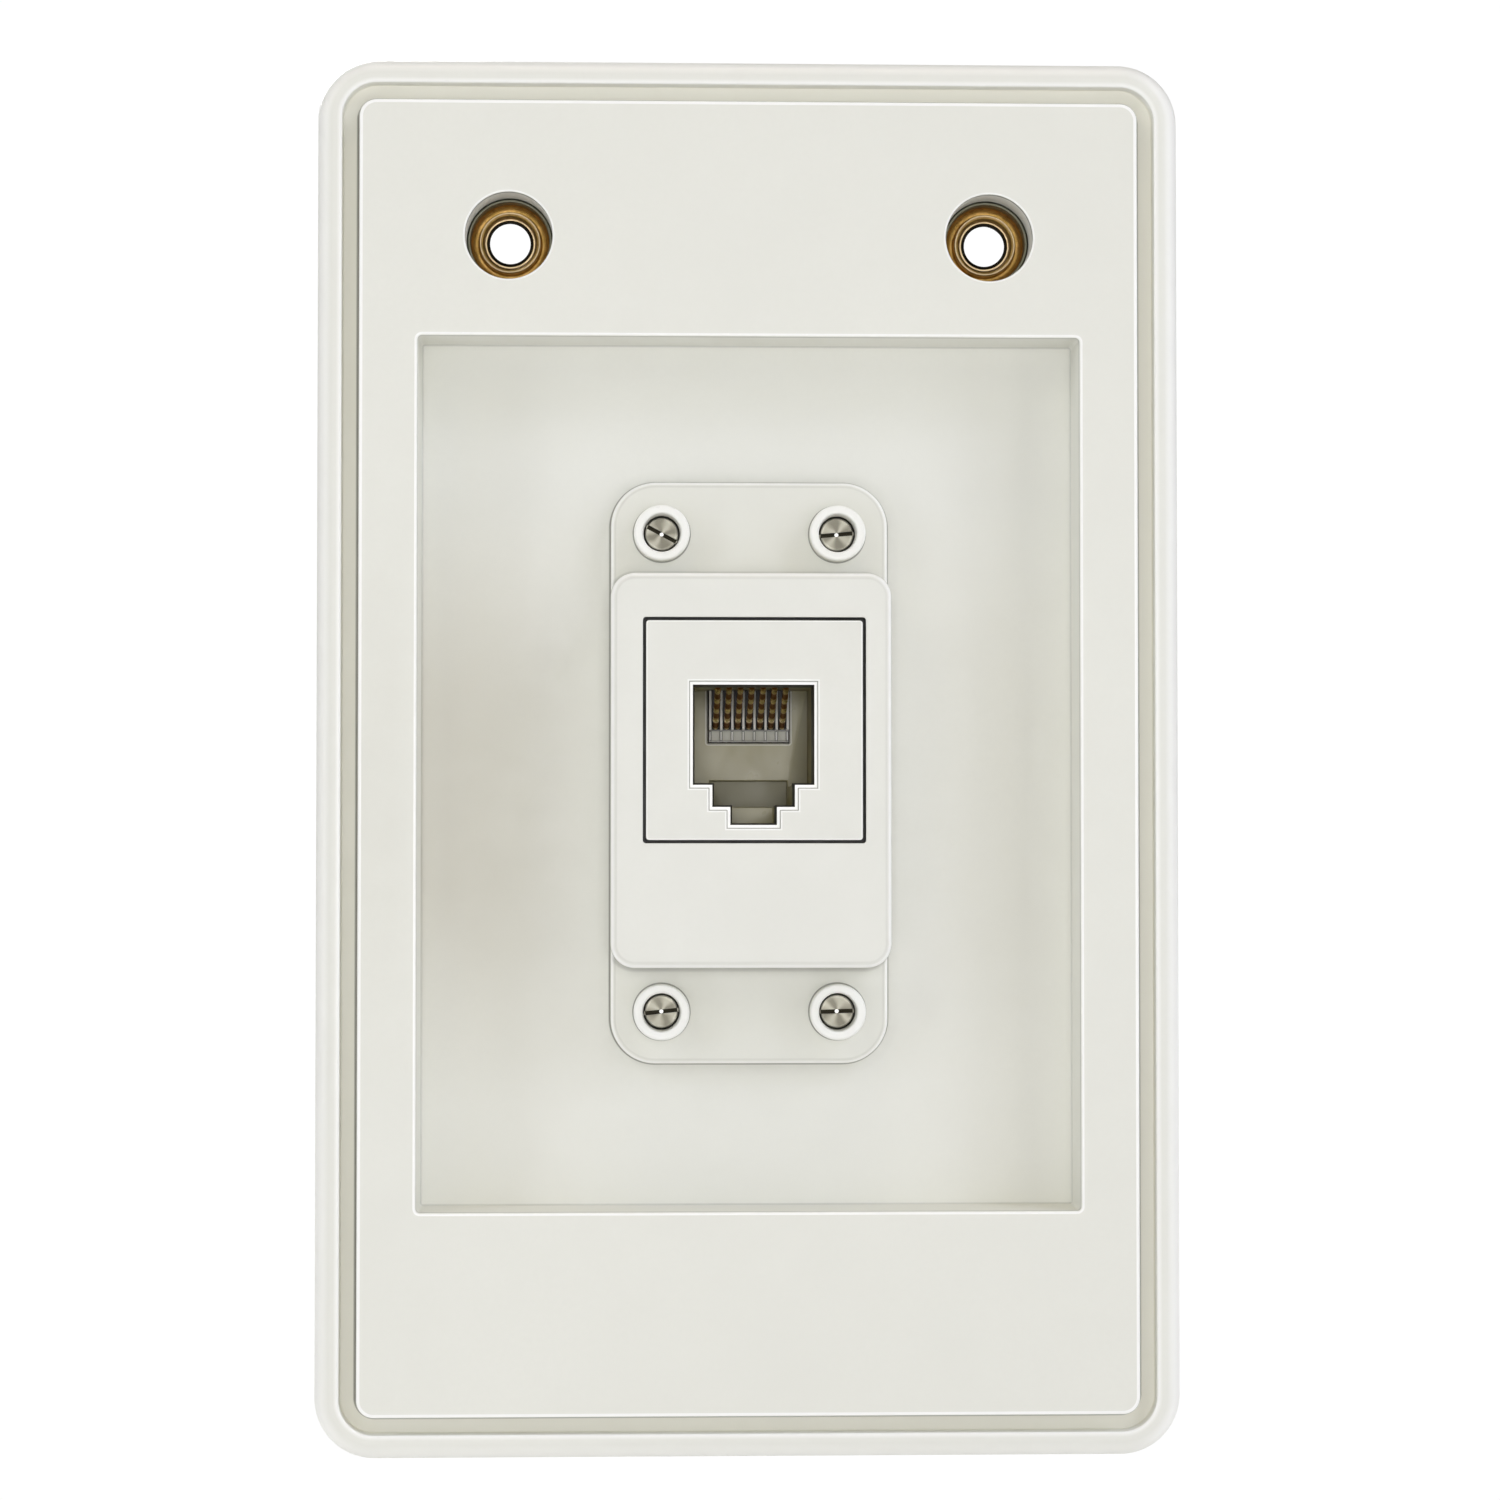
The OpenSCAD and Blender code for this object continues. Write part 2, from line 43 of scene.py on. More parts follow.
# Sizes in millimetres
PLATE_W, PLATE_H, PLATE_R = 70.6, 114.1, 4.9
RIM_W, RIM_H, RIM_ROUND, GROOVE_W = 2.05, 7.1, 1.6, 1.4
FLOOR_OF_GROOVE = RIM_H - 1.4
PANEL_W, PANEL_H, PANEL_R = PLATE_W - 2 * (RIM_W + GROOVE_W), PLATE_H - 2 * (RIM_W + GROOVE_W), 1.45
FACE = 7.5
SEAT = 1.25
HOLE_X, HOLE_Y, SINK = 19.65, 42.45, 3.55
POCKET_W, POCKET_H, POCKET_Y, POCKET_WALL = 54.1, 71.3, -1.4, 1.6
POCKET_FLOOR, POCKET_BACK = 2.5, 0.7
JACK_X, BRACKET_Y, SCREW_DX, SCREW_DY = 0.1, -1.3, 14.45, 39.3
SCREWS = [(JACK_X + sx * SCREW_DX / 2, BRACKET_Y + sy * SCREW_DY / 2) for sx in (-1, 1) for sy in (-1, 1)]
BRACKET_BASE, BRACKET_TOP = 2.5, 4.1
BLOCK_Y, BLOCK_TOP = -1.21, 9.1
INSERT_X, INSERT_Y, INSERT_W, INSERT_H = 0.35, 2.03, 17.68, 17.92
INSERT_BACK = BLOCK_TOP - 2.5
OPEN_X, OPEN_W, OPEN_TOP, OPEN_H = 0.28, 9.73, 5.66, 8.0
OPEN_BOTTOM = OPEN_TOP - OPEN_H
STEP1_W, STEP1_H, STEP2_W, STEP2_H = 6.57, 1.79, 3.65, 1.46

# ---------------------------------------------------------------------------
# Outlines. Shapes are drawn face up in millimetres: x to the right, y up,
# z = height above the wall. put() stands them up in the frame, in metres.
# ---------------------------------------------------------------------------


def put(x, y, z):
    return (x * MM, -z * MM, y * MM)


def rrect(cx, cy, w, h, r, n=12):
    """A rounded rectangle, as a function of how far it grows."""

    def at(d=0.0):
        a, b, q = w / 2 + d, h / 2 + d, max(r + d, 0.03)
        pts = []
        for k, (sx, sy) in enumerate(((1, 1), (-1, 1), (-1, -1), (1, -1))):
            for i in range(n + 1):
                t = math.radians(90 * k + 90 * i / n)
                pts.append((cx + sx * (a - q) + q * math.cos(t), cy + sy * (b - q) + q * math.sin(t)))
        return pts

    return at


def circle(cx, cy, n=72):
    """A circle, as a function of its radius."""

    def at(r):
        return [(cx + r * math.cos(2 * math.pi * i / n), cy + r * math.sin(2 * math.pi * i / n)) for i in range(n)]

    return at


def polygon(pts):
    """A polygon with mitred corners, as a function of how far it grows. Its points run anticlockwise."""

    def at(d=0.0):
        out, n = [], len(pts)
        for i in range(n):
            p0, p1, p2 = Vector(pts[i - 1]), Vector(pts[i]), Vector(pts[(i + 1) % n])
            a, b = (p1 - p0).normalized(), (p2 - p1).normalized()
            na, nb = Vector((a.y, -a.x)), Vector((b.y, -b.x))
            m = (na + nb) / (1 + na.dot(nb))
            out.append((p1.x + m.x * d, p1.y + m.y * d))
        return out

    return at


def bend(d0, z0, d1, z1, n=6, start="v", tag=1.0, t0=0.0, t1=0.0, peak=0.5, spread=0.3):
    """Quarter turn of a profile from (d0, z0) to (d1, z1). It leaves upright ("v") or level ("h").
    tag is its mark at the place peak (0 to 1 along the turn), t0 and t1 the marks of its two ends."""
    out = []
    for i in range(1, n):
        t = math.pi / 2 * i / n
        s, c = math.sin(t), math.cos(t)
        k = i / n
        bell = math.exp(-(((k - peak) / spread) ** 2))
        mark = tag * bell + (t0 * (1 - k) + t1 * k) * (1 - bell)
        if start == "v":
            out.append((d0 + (d1 - d0) * (1 - c), z0 + (z1 - z0) * s, mark))
        else:
            out.append((d0 + (d1 - d0) * s, z0 + (z1 - z0) * (1 - c), mark))
    return [(d0, z0, t0), *out, (d1, z1, t1)]


def inside(p, poly):
    x, y, hit, n = p[0], p[1], False, len(poly)
    for i in range(n):
        x0, y0 = poly[i - 1]
        x1, y1 = poly[i]
        if (y0 > y) != (y1 > y) and x < (x1 - x0) * (y - y0) / (y1 - y0) + x0:
            hit = not hit
    return hit


def gap(p, poly):
    best, q = 1e9, Vector(p)
    for i in range(len(poly)):
        a, b = Vector(poly[i - 1]), Vector(poly[i])
        ab = b - a
        t = max(0.0, min(1.0, (q - a).dot(ab) / max(ab.length_squared, 1e-12)))
        best = min(best, (q - a - ab * t).length)
    return best


class Shell:
    """A mesh put together from rings, the strips between them and flat fills."""

    def __init__(self):
        self.v, self.f, self.tag = [], [], []

    def ring(self, pts, z, tag=0.0):
        s = len(self.v)
        self.v += [(p[0], p[1], z) for p in pts]
        self.tag += [tag] * len(pts)
        return list(range(s, s + len(pts)))

    def strip(self, a, b):
        n = len(a)
        for i in range(n):
            j = (i + 1) % n
            self.f.append((a[i], a[j], b[j], b[i]))

    def sweep(self, loop, profile):
        """profile holds (growth or radius, z, tag). Returns the first and the last ring."""
        rings, last = [], None
        for p in profile:
            if last and abs(p[0] - last[0]) < 1e-7 and abs(p[1] - last[1]) < 1e-7:
                continue
            last = p
            rings.append(self.ring(loop(p[0]), p[1], p[2] if len(p) > 2 else 0.0))
        for a, b in zip(rings, rings[1:]):
            self.strip(a, b)
        return rings[0], rings[-1]

    def fill(self, outer, holes=(), grid=0.0):
        loops = [outer, *holes]
        z = self.v[outer[0]][2]
        polys = [[self.v[i][:2] for i in loop] for loop in loops]
        ids = [i for loop in loops for i in loop]
        edges, s = [], 0
        for loop in loops:
            n = len(loop)
            edges += [(s + k, s + (k + 1) % n) for k in range(n)]
            s += n
        if grid:
            xs, ys = [p[0] for p in polys[0]], [p[1] for p in polys[0]]
            nx, ny = max(1, round((max(xs) - min(xs)) / grid)), max(1, round((max(ys) - min(ys)) / grid))
            for i in range(1, nx):
                for j in range(1, ny):
                    p = (min(xs) + (max(xs) - min(xs)) * i / nx, min(ys) + (max(ys) - min(ys)) * j / ny)
                    if inside(p, polys[0]) and not any(inside(p, h) for h in polys[1:]):
                        if min(gap(p, q) for q in polys) > 0.45 * grid:
                            ids.append(len(self.v))
                            self.v.append((p[0], p[1], z))
                            self.tag.append(0.0)
        pts = [Vector(self.v[i][:2]) for i in ids]
        _, _, faces, orig, _, _ = delaunay_2d_cdt(pts, edges, [], 0, 1e-6)
        for face in faces:
            tri = [ids[orig[k][0]] for k in face]
            c = [sum(self.v[i][k] for i in tri) / 3 for k in (0, 1)]
            if inside(c, polys[0]) and not any(inside(c, h) for h in polys[1:]):
                self.f.append(tuple(tri))

    def lathe(self, cx, cy, profile, n=96, closed=True):
        """A profile of (radius, z, tag) turned about an upright axis."""
        loop = circle(cx, cy, n)
        rings = [self.ring(loop(p[0]), p[1], p[2] if len(p) > 2 else 0.0) for p in profile]
        for a, b in zip(rings, rings[1:]):
            self.strip(a, b)
        if closed:
            self.strip(rings[-1], rings[0])
        return rings

    def tube(self, x, path, radius, n=16):
        """A wire in the plane of one x. path holds (y, z), and radius is a function of the way along it."""
        along, rings = 0.0, []
        for i, (y, z) in enumerate(path):
            if i:
                along += math.hypot(y - path[i - 1][0], z - path[i - 1][1])
            a, b = path[max(i - 1, 0)], path[min(i + 1, len(path) - 1)]
            t = Vector((b[0] - a[0], b[1] - a[1])).normalized()
            r = radius(along)
            s = len(self.v)
            for k in range(n):
                p = 2 * math.pi * k / n
                u, w = r * math.cos(p), r * math.sin(p)
                self.v.append((x + u, y - t.y * w, z + t.x * w))
                self.tag.append(along)
            rings.append(list(range(s, s + n)))
        for a, b in zip(rings, rings[1:]):
            self.strip(a, b)
        self.f.append(tuple(reversed(rings[0])))
        self.f.append(tuple(rings[-1]))


def box_shell(x0, x1, y0, y1, z0, z1, r=0.0):
    s = Shell()
    loop = rrect((x0 + x1) / 2, (y0 + y1) / 2, x1 - x0, y1 - y0, max(r, 0.03), 3)
    a, b = s.sweep(loop, [(0, z0), (0, z1)])
    s.fill(a)
    s.fill(b)
    return s


SHARP = math.radians(33)


def to_mesh(name, shell, weld=1e-7):
    me = bpy.data.meshes.new(name)
    me.from_pydata([put(*p) for p in shell.v], [], shell.f)
    # The marks go into the 'edge' attribute. On plastic, brass and steel, marks above zero paint highlights and marks
    # below zero paint shade; on the contact wires it holds the length along the wire.
    layer = me.attributes.new("edge", "FLOAT", "POINT")
    for i, t in enumerate(shell.tag):
        layer.data[i].value = t
    bm = bmesh.new()
    bm.from_mesh(me)
    bmesh.ops.remove_doubles(bm, verts=bm.verts, dist=weld)
    bmesh.ops.dissolve_degenerate(bm, edges=bm.edges, dist=weld)
    bmesh.ops.recalc_face_normals(bm, faces=bm.faces)
    bm.to_mesh(me)
    bm.free()
    return me


def finish_mesh(me):
    """Smooth faces with sharp edges where the surface really turns."""
    bm = bmesh.new()
    bm.from_mesh(me)
    for f in bm.faces:
        f.smooth = True
    for e in bm.edges:
        e.smooth = not (len(e.link_faces) == 2 and e.calc_face_angle(0) > SHARP)
    bm.to_mesh(me)
    bm.free()


def link(name, me):
    o = bpy.data.objects.new(name, me)
    bpy.context.scene.collection.objects.link(o)
    return o


def combine(name, base, adds=(), cuts=()):
    """The solid base with solids added and cut away."""
    body = link(name, base)
    helpers = []
    for operation, meshes in (("UNION", adds), ("DIFFERENCE", cuts)):
        for k, me in enumerate(meshes):
            h = link(f"{name}_{operation.lower()}_{k}", me)
            helpers.append(h)
            m = body.modifiers.new("b", "BOOLEAN")
            m.operation, m.solver, m.object = operation, "EXACT", h
    bpy.context.view_layer.update()
    done = bpy.data.meshes.new_from_object(body.evaluated_get(bpy.context.evaluated_depsgraph_get()))
    body.modifiers.clear()
    body.data = done
    done.name = name
    for h in helpers:
        bpy.data.objects.remove(h)
    bm = bmesh.new()
    bm.from_mesh(done)
    bmesh.ops.remove_doubles(bm, verts=bm.verts, dist=1e-7)
    bm.to_mesh(done)
    bm.free()
    return body


def piece(name, what, material, slot, *nodes):
    """Names, finishes and places one visual piece, which stands for these CAD nodes."""
    o = what if isinstance(what, bpy.types.Object) else link(name, what)
    o.name = name
    finish_mesh(o.data)
    o.data.materials.clear()
    o.data.materials.append(material)
    m = o.modifiers.new("weighted", "WEIGHTED_NORMAL")
    m.mode, m.weight, m.keep_sharp = "FACE_AREA", 50, True
    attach(o, "root")
    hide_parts(*nodes)
    return o


# ---------------------------------------------------------------------------
# Materials
# ---------------------------------------------------------------------------


class Mat:
    """A short way to write node trees."""

    def __init__(self, name):
        self.mat = bpy.data.materials.new(name)
        self.mat.use_nodes = True
        self.nt = self.mat.node_tree
        self.nt.nodes.clear()
        self.out = self.nt.nodes.new("ShaderNodeOutputMaterial")
        self.bsdf = self.nt.nodes.new("ShaderNodeBsdfPrincipled")
        self.nt.links.new(self.bsdf.outputs[0], self.out.inputs[0])
        self.co = self.nt.nodes.new("ShaderNodeTexCoord").outputs["Object"]

    def set(self, **values):
        for k, v in values.items():
            self.bsdf.inputs[k.replace("_", " ")].default_value = v

    def plug(self, name, socket):
        self.nt.links.new(socket, self.bsdf.inputs[name])

    def _in(self, node, index, value):
        if isinstance(value, bpy.types.NodeSocket):
            self.nt.links.new(value, node.inputs[index])
        else:
            node.inputs[index].default_value = value

    def noise(self, scale, detail=3.0, rough=0.55, vector=None, stretch=None):
        n = self.nt.nodes.new("ShaderNodeTexNoise")
        v = vector or self.co
        if stretch:
            mp = self.nt.nodes.new("ShaderNodeMapping")
            mp.inputs["Scale"].default_value = stretch
            self.nt.links.new(v, mp.inputs["Vector"])
            v = mp.outputs[0]
        self.nt.links.new(v, n.inputs["Vector"])
        n.inputs["Scale"].default_value = scale
        n.inputs["Detail"].default_value = detail
        n.inputs["Roughness"].default_value = rough
        return n.outputs["Fac"]

    def math(self, op, a, b=0.0, clamp=False):
        n = self.nt.nodes.new("ShaderNodeMath")
        n.operation, n.use_clamp = op, clamp
        self._in(n, 0, a)
        self._in(n, 1, b)
        return n.outputs[0]

    def ramp(self, value, lo, hi, a=0.0, b=1.0):
        n = self.nt.nodes.new("ShaderNodeMapRange")
        n.clamp = True
        for i, x in enumerate((value, lo, hi, a, b)):
            self._in(n, i, x)
        return n.outputs[0]

    def mix(self, fac, a, b, blend="MIX"):
        n = self.nt.nodes.new("ShaderNodeMix")
        n.data_type, n.blend_type = "RGBA", blend
        self._in(n, 0, fac)
        self._in(n, 6, a)
        self._in(n, 7, b)
        return n.outputs[2]

    def attribute(self, name, output="Fac"):
        n = self.nt.nodes.new("ShaderNodeAttribute")
        n.attribute_name = name
        return n.outputs[output]

    def bump(self, height, strength, distance, normal=None):
        n = self.nt.nodes.new("ShaderNodeBump")
        n.inputs["Strength"].default_value = strength
        n.inputs["Distance"].default_value = distance
        self.nt.links.new(height, n.inputs["Height"])
        if normal:
            self.nt.links.new(normal, n.inputs["Normal"])
        return n.outputs[0]


def rgba(c, k=1.0):
    return (c[0] * k, c[1] * k, c[2] * k, 1.0)


def place(m):
    """Where a point is, in millimetres: across, up and height above the wall."""
    sep = m.nt.nodes.new("ShaderNodeSeparateXYZ")
    m.nt.links.new(m.co, sep.inputs[0])
    return (m.math("MULTIPLY", sep.outputs[0], 1000.0), m.math("MULTIPLY", sep.outputs[2], 1000.0),
            m.math("MULTIPLY", sep.outputs[1], -1000.0))


def outside(m, x, y, cx, cy, w, h, r):
    """Distance in millimetres from a rounded rectangle's outline, positive outside it."""
    qx = m.math("SUBTRACT", m.math("ABSOLUTE", m.math("SUBTRACT", x, cx)), w / 2 - r)
    qy = m.math("SUBTRACT", m.math("ABSOLUTE", m.math("SUBTRACT", y, cy)), h / 2 - r)
    ax, ay = m.math("MAXIMUM", qx, 0.0), m.math("MAXIMUM", qy, 0.0)
    far = m.math("POWER", m.math("ADD", m.math("MULTIPLY", ax, ax), m.math("MULTIPLY", ay, ay)), 0.5)
    near = m.math("MINIMUM", m.math("MAXIMUM", qx, qy), 0.0)
    return m.math("SUBTRACT", m.math("ADD", far, near), r)


# Grey-brown for painted shade in creases, seams and round the feet of parts
PAINTED_SHADE = (0.16, 0.155, 0.13, 1)


def plastic(name, c, rough=0.42, spread=0.012, grain=0.06, light=0.85, edges=True, extra=None):
    """Moulded plastic: fine satin grain, faint cloudiness, painted highlights on the edges and painted shade in the
    corners and creases.
    """
    m = Mat(name)
    cloud = m.noise(70, 3.0)
    speck = m.noise(2600, 2.0)
    col = m.mix(m.ramp(cloud, 0.3, 0.7), rgba(c, 1 - spread), rgba(c, 1 + spread))
    col = m.mix(m.ramp(speck, 0.25, 0.75, 0.0, 0.5), col, rgba(c, 1 - 1.6 * spread))
    r = m.ramp(m.noise(420, 3.0), 0.3, 0.7, rough - 0.04, rough + 0.05)
    if edges:
        # Marks above zero paint a highlight on rounded edges (paler and glossier); marks below zero paint near-black
        # shade in creases and gaps.
        e = m.attribute("edge")
        edge_highlight = m.ramp(e, 0.0, 1.0, 0.0, light)
        col = m.mix(edge_highlight, col, (0.985, 0.985, 0.96, 1))
        low = m.ramp(e, 0.0, -1.0)
        col = m.mix(low, col, (0.022, 0.021, 0.017, 1))
        r = m.math("SUBTRACT", r, m.math("MULTIPLY", edge_highlight, 0.2))
    else:
        # Without marks, Pointiness paints a highlight on convex edges and shade in concave corners.
        geo = m.nt.nodes.new("ShaderNodeNewGeometry")
        edge_highlight = m.ramp(geo.outputs["Pointiness"], 0.505, 0.56, 0.0, 0.6)
        col = m.mix(edge_highlight, col, rgba([min(1.0, k * 1.12 + 0.03) for k in c]))
        low = m.ramp(geo.outputs["Pointiness"], 0.492, 0.44, 0.0, 0.6)
        col = m.mix(low, col, rgba(c, 0.5))
        r = m.math("SUBTRACT", r, m.math("MULTIPLY", edge_highlight, 0.12))
    if extra:
        col = extra(m, col)
    m.plug("Base Color", col)
    m.plug("Roughness", r)
    fine = m.bump(m.noise(5200, 2.0), grain, 0.00002)
    m.plug("Normal", m.bump(m.noise(160, 2.0), 0.04, 0.0001, fine))
    m.set(IOR=1.5)
    return m.mat


def painted_contact_shade(m, col, d, width, strength=0.75):
    """Painted shade where a part stands on a surface: a thin dark line just outside its outline, and a faint mottled
    darkening that fades out over about a millimetre beyond it.
    """
    seam_shade = m.math("MULTIPLY", m.ramp(d, -0.04, 0.0), m.ramp(d, width, width * 0.55))
    col = m.mix(m.math("MULTIPLY", seam_shade, strength), col, PAINTED_SHADE)
    fading_shade = m.math("MULTIPLY", m.ramp(d, 1.1, 0.0), m.ramp(m.noise(900, 2.0), 0.2, 0.8, 0.03, 0.10))
    return m.mix(fading_shade, col, PAINTED_SHADE)


def panel_marks(m, col):
    x, y, h = place(m)
    # Painted shade on the pocket floor round the bracket's foot
    floor_only = m.ramp(h, 3.0, 2.8)
    d = outside(m, x, y, JACK_X, BRACKET_Y, 22.85, 47.9, 3.7)
    col = m.mix(floor_only, col, painted_contact_shade(m, col, d, 0.17, 0.7))
    # Painted shadow of the jack block: a soft warm darkening on the left of the pocket floor, and a fainter one on the
    # panel's face left of the pocket
    soft = m.math("ADD", m.math("MULTIPLY", m.noise(60, 2.0), 3.0), -1.5)
    side = m.ramp(m.math("ADD", x, soft), -11.0, -25.0)
    span = m.math("MULTIPLY", m.ramp(m.math("ADD", y, soft), 24.0, 4.0), m.ramp(m.math("ADD", y, soft), -29.0, -11.0))
    stain = m.math("MULTIPLY", m.math("MULTIPLY", side, span), floor_only)
    shade = m.math("MULTIPLY", m.math("MULTIPLY", m.ramp(x, -26.0, -29.0), span), m.ramp(h, 7.2, 7.4))
    col = m.mix(m.math("MULTIPLY", shade, 0.07), col, (0.25, 0.215, 0.09, 1))
    return m.mix(m.math("MULTIPLY", stain, LEFT_SHADOW_PAINT), col, (0.27, 0.205, 0.08, 1))


def groove_marks(m, col):
    """The groove's floor is coloured warmer and paler than the panel, with painted light making it paler still on its
    right and top sides and painted shade along its walls; the rounded rim has a painted highlight near its outer edge,
    weaker towards the bottom.
    """
    x, y, h = place(m)
    low = m.math("MULTIPLY", m.ramp(h, 6.1, 5.8), m.ramp(h, 5.0, 5.4))
    d = outside(m, x, y, 0, 0, PLATE_W, PLATE_H, PLATE_R)
    # Painted highlight on the rim's outer roll, weaker along the bottom
    rim_highlight = m.math("MULTIPLY", m.ramp(d, -1.2, -0.6), m.ramp(y, -56.6, -54.6, 0.2, 1.0))
    col = m.mix(m.math("MULTIPLY", rim_highlight, m.ramp(m.noise(240, 2.0), 0.2, 0.7, 0.75, 1.0)), col, (0.95, 0.95, 0.905, 1))
    # Painted light: the groove is paler on its right and top sides
    far = m.math("MAXIMUM", m.ramp(x, 32.0, 33.2), m.ramp(y, 53.6, 54.8))
    groove_floor_colour = m.mix(far, (0.875, 0.86, 0.76, 1), (0.965, 0.95, 0.85, 1))
    return m.mix(m.math("MULTIPLY", low, 0.85), col, m.mix(m.ramp(m.attribute("edge"), -0.1, -0.8), groove_floor_colour, PAINTED_SHADE))


def bracket_marks(m, col):
    x, y, h = place(m)
    top = m.math("MULTIPLY", m.ramp(h, 3.9, 4.05), m.ramp(h, 4.3, 4.2))
    # Painted shade on the bracket round the foot of the jack block
    d = outside(m, x, y, JACK_X, BLOCK_Y, 22.85, 32.1, 2.0)
    return m.mix(top, col, painted_contact_shade(m, col, d, 0.5, 0.3))


def comb_marks(m, col):
    """Pale teeth over dark slots, and seven small pale windows in dark frames. The dark slots, the dark beside the
    teeth and the dark frames are painted shade, and the pure white on the teeth is a painted highlight.
    """
    x, y, h = place(m)
    across = m.math("SUBTRACT", m.math("PINGPONG", m.math("ADD", m.math("SUBTRACT", x, OPEN_X), 0.93 * 20), 0.465), 0.0)
    # Painted shade in the slots between the teeth
    slot = m.math("MULTIPLY", m.ramp(h, -2.2, -2.5), m.ramp(y, 2.38, 2.46))
    col = m.mix(m.math("MULTIPLY", slot, m.ramp(y, 8.0, 7.0)), col, (0.02, 0.016, 0.010, 1))
    rib = m.math("MULTIPLY", m.ramp(h, -2.1, -1.9), m.ramp(y, 6.2, 5.9))
    # Painted shade beside the teeth, then a painted highlight along them
    col = m.mix(m.math("MULTIPLY", m.math("MULTIPLY", rib, 0.92), m.ramp(across, 0.39, 0.36)), col, (0.03, 0.025, 0.017, 1))
    col = m.mix(m.math("MULTIPLY", rib, m.ramp(across, 0.365, 0.40)), col, (1.0, 1.0, 0.96, 1))
    # Dark frames round the seven windows, painted as shade
    band = m.math("MULTIPLY", m.ramp(across, 0.28, 0.31), m.ramp(across, 0.44, 0.41))
    row = m.math("MULTIPLY", m.ramp(y, 2.42, 2.40), m.ramp(y, 1.42, 1.44))
    lid = m.math("ADD", m.math("MULTIPLY", m.ramp(y, 2.24, 2.27), m.ramp(y, 2.42, 2.39)),
                 m.math("MULTIPLY", m.ramp(y, 1.58, 1.55), m.ramp(y, 1.43, 1.45)))
    frame_ = m.math("MULTIPLY", m.math("MAXIMUM", band, lid), m.math("MULTIPLY", row, m.ramp(h, -2.75, -2.65)))
    return m.mix(m.math("MULTIPLY", frame_, 0.85), col, (0.06, 0.055, 0.04, 1))


def jack_marks(m, col):
    """A dark line of painted shade with a paler painted highlight beside it, round the comb. The dark corners in the
    throat are the concave-corner painted shade of plastic().
    """
    x, y, h = place(m)
    back = m.math("MULTIPLY", m.ramp(h, -3.0, -3.15), m.ramp(h, -3.4, -3.3))
    d = outside(m, x, y, OPEN_X, 5.36, 6.8, 8.0, 0.03)
    seam_shade = m.math("MULTIPLY", m.ramp(d, 0.14, 0.11), back)
    lip = m.math("MULTIPLY", m.math("MULTIPLY", m.ramp(d, 0.12, 0.15), m.ramp(d, 0.28, 0.25)), back)
    col = m.mix(m.math("MULTIPLY", seam_shade, 0.85), col, (0.05, 0.045, 0.035, 1))
    return m.mix(m.math("MULTIPLY", lip, 0.5), col, (0.93, 0.92, 0.84, 1))


# Strength of the painted shadow on the left of the pocket floor
LEFT_SHADOW_PAINT = 0.25
WARM = (0.80, 0.80, 0.735)

shell_white = plastic("moulded_white_rim", (0.80, 0.80, 0.735), light=1.0, extra=groove_marks)
panel_white = plastic("moulded_white_panel", WARM, light=1.0, extra=panel_marks)
block_white = plastic("moulded_white_block", (0.795, 0.795, 0.735), light=1.0)
bracket_white = plastic("moulded_white_bracket", (0.785, 0.785, 0.715), light=1.0, extra=bracket_marks)
insert_white = plastic("moulded_white_insert", (0.79, 0.79, 0.73), light=1.0)
case_white = plastic("moulded_white_case", (0.78, 0.78, 0.72), rough=0.5, spread=0.02, grain=0.12, edges=False)
# The jack's body gets a dark taupe colour that stands for the shade inside its throat
jack_shade_taupe = plastic("moulded_taupe_for_shade", (0.455, 0.415, 0.225), rough=0.38, spread=0.02, edges=False, extra=jack_marks)
comb_pale = plastic("moulded_comb", (0.95, 0.945, 0.85), rough=0.4, spread=0.02, edges=False, extra=comb_marks)


def metal(name, dark, mid, pale, rough=0.3):
    m = Mat(name)
    a = m.ramp(m.noise(900, 4.0), 0.3, 0.72)
    b = m.ramp(m.noise(4200, 3.0), 0.35, 0.7)
    col = m.mix(a, rgba(dark), rgba(mid))
    col = m.mix(m.math("MULTIPLY", b, 0.45), col, rgba(pale))
    m.plug("Base Color", col)
    m.plug("Roughness", m.ramp(a, 0.0, 1.0, rough + 0.12, rough - 0.05))
    m.plug("Normal", m.bump(m.noise(6500, 2.0), 0.15, 0.00002))
    m.set(Metallic=1.0)
    return m.mat


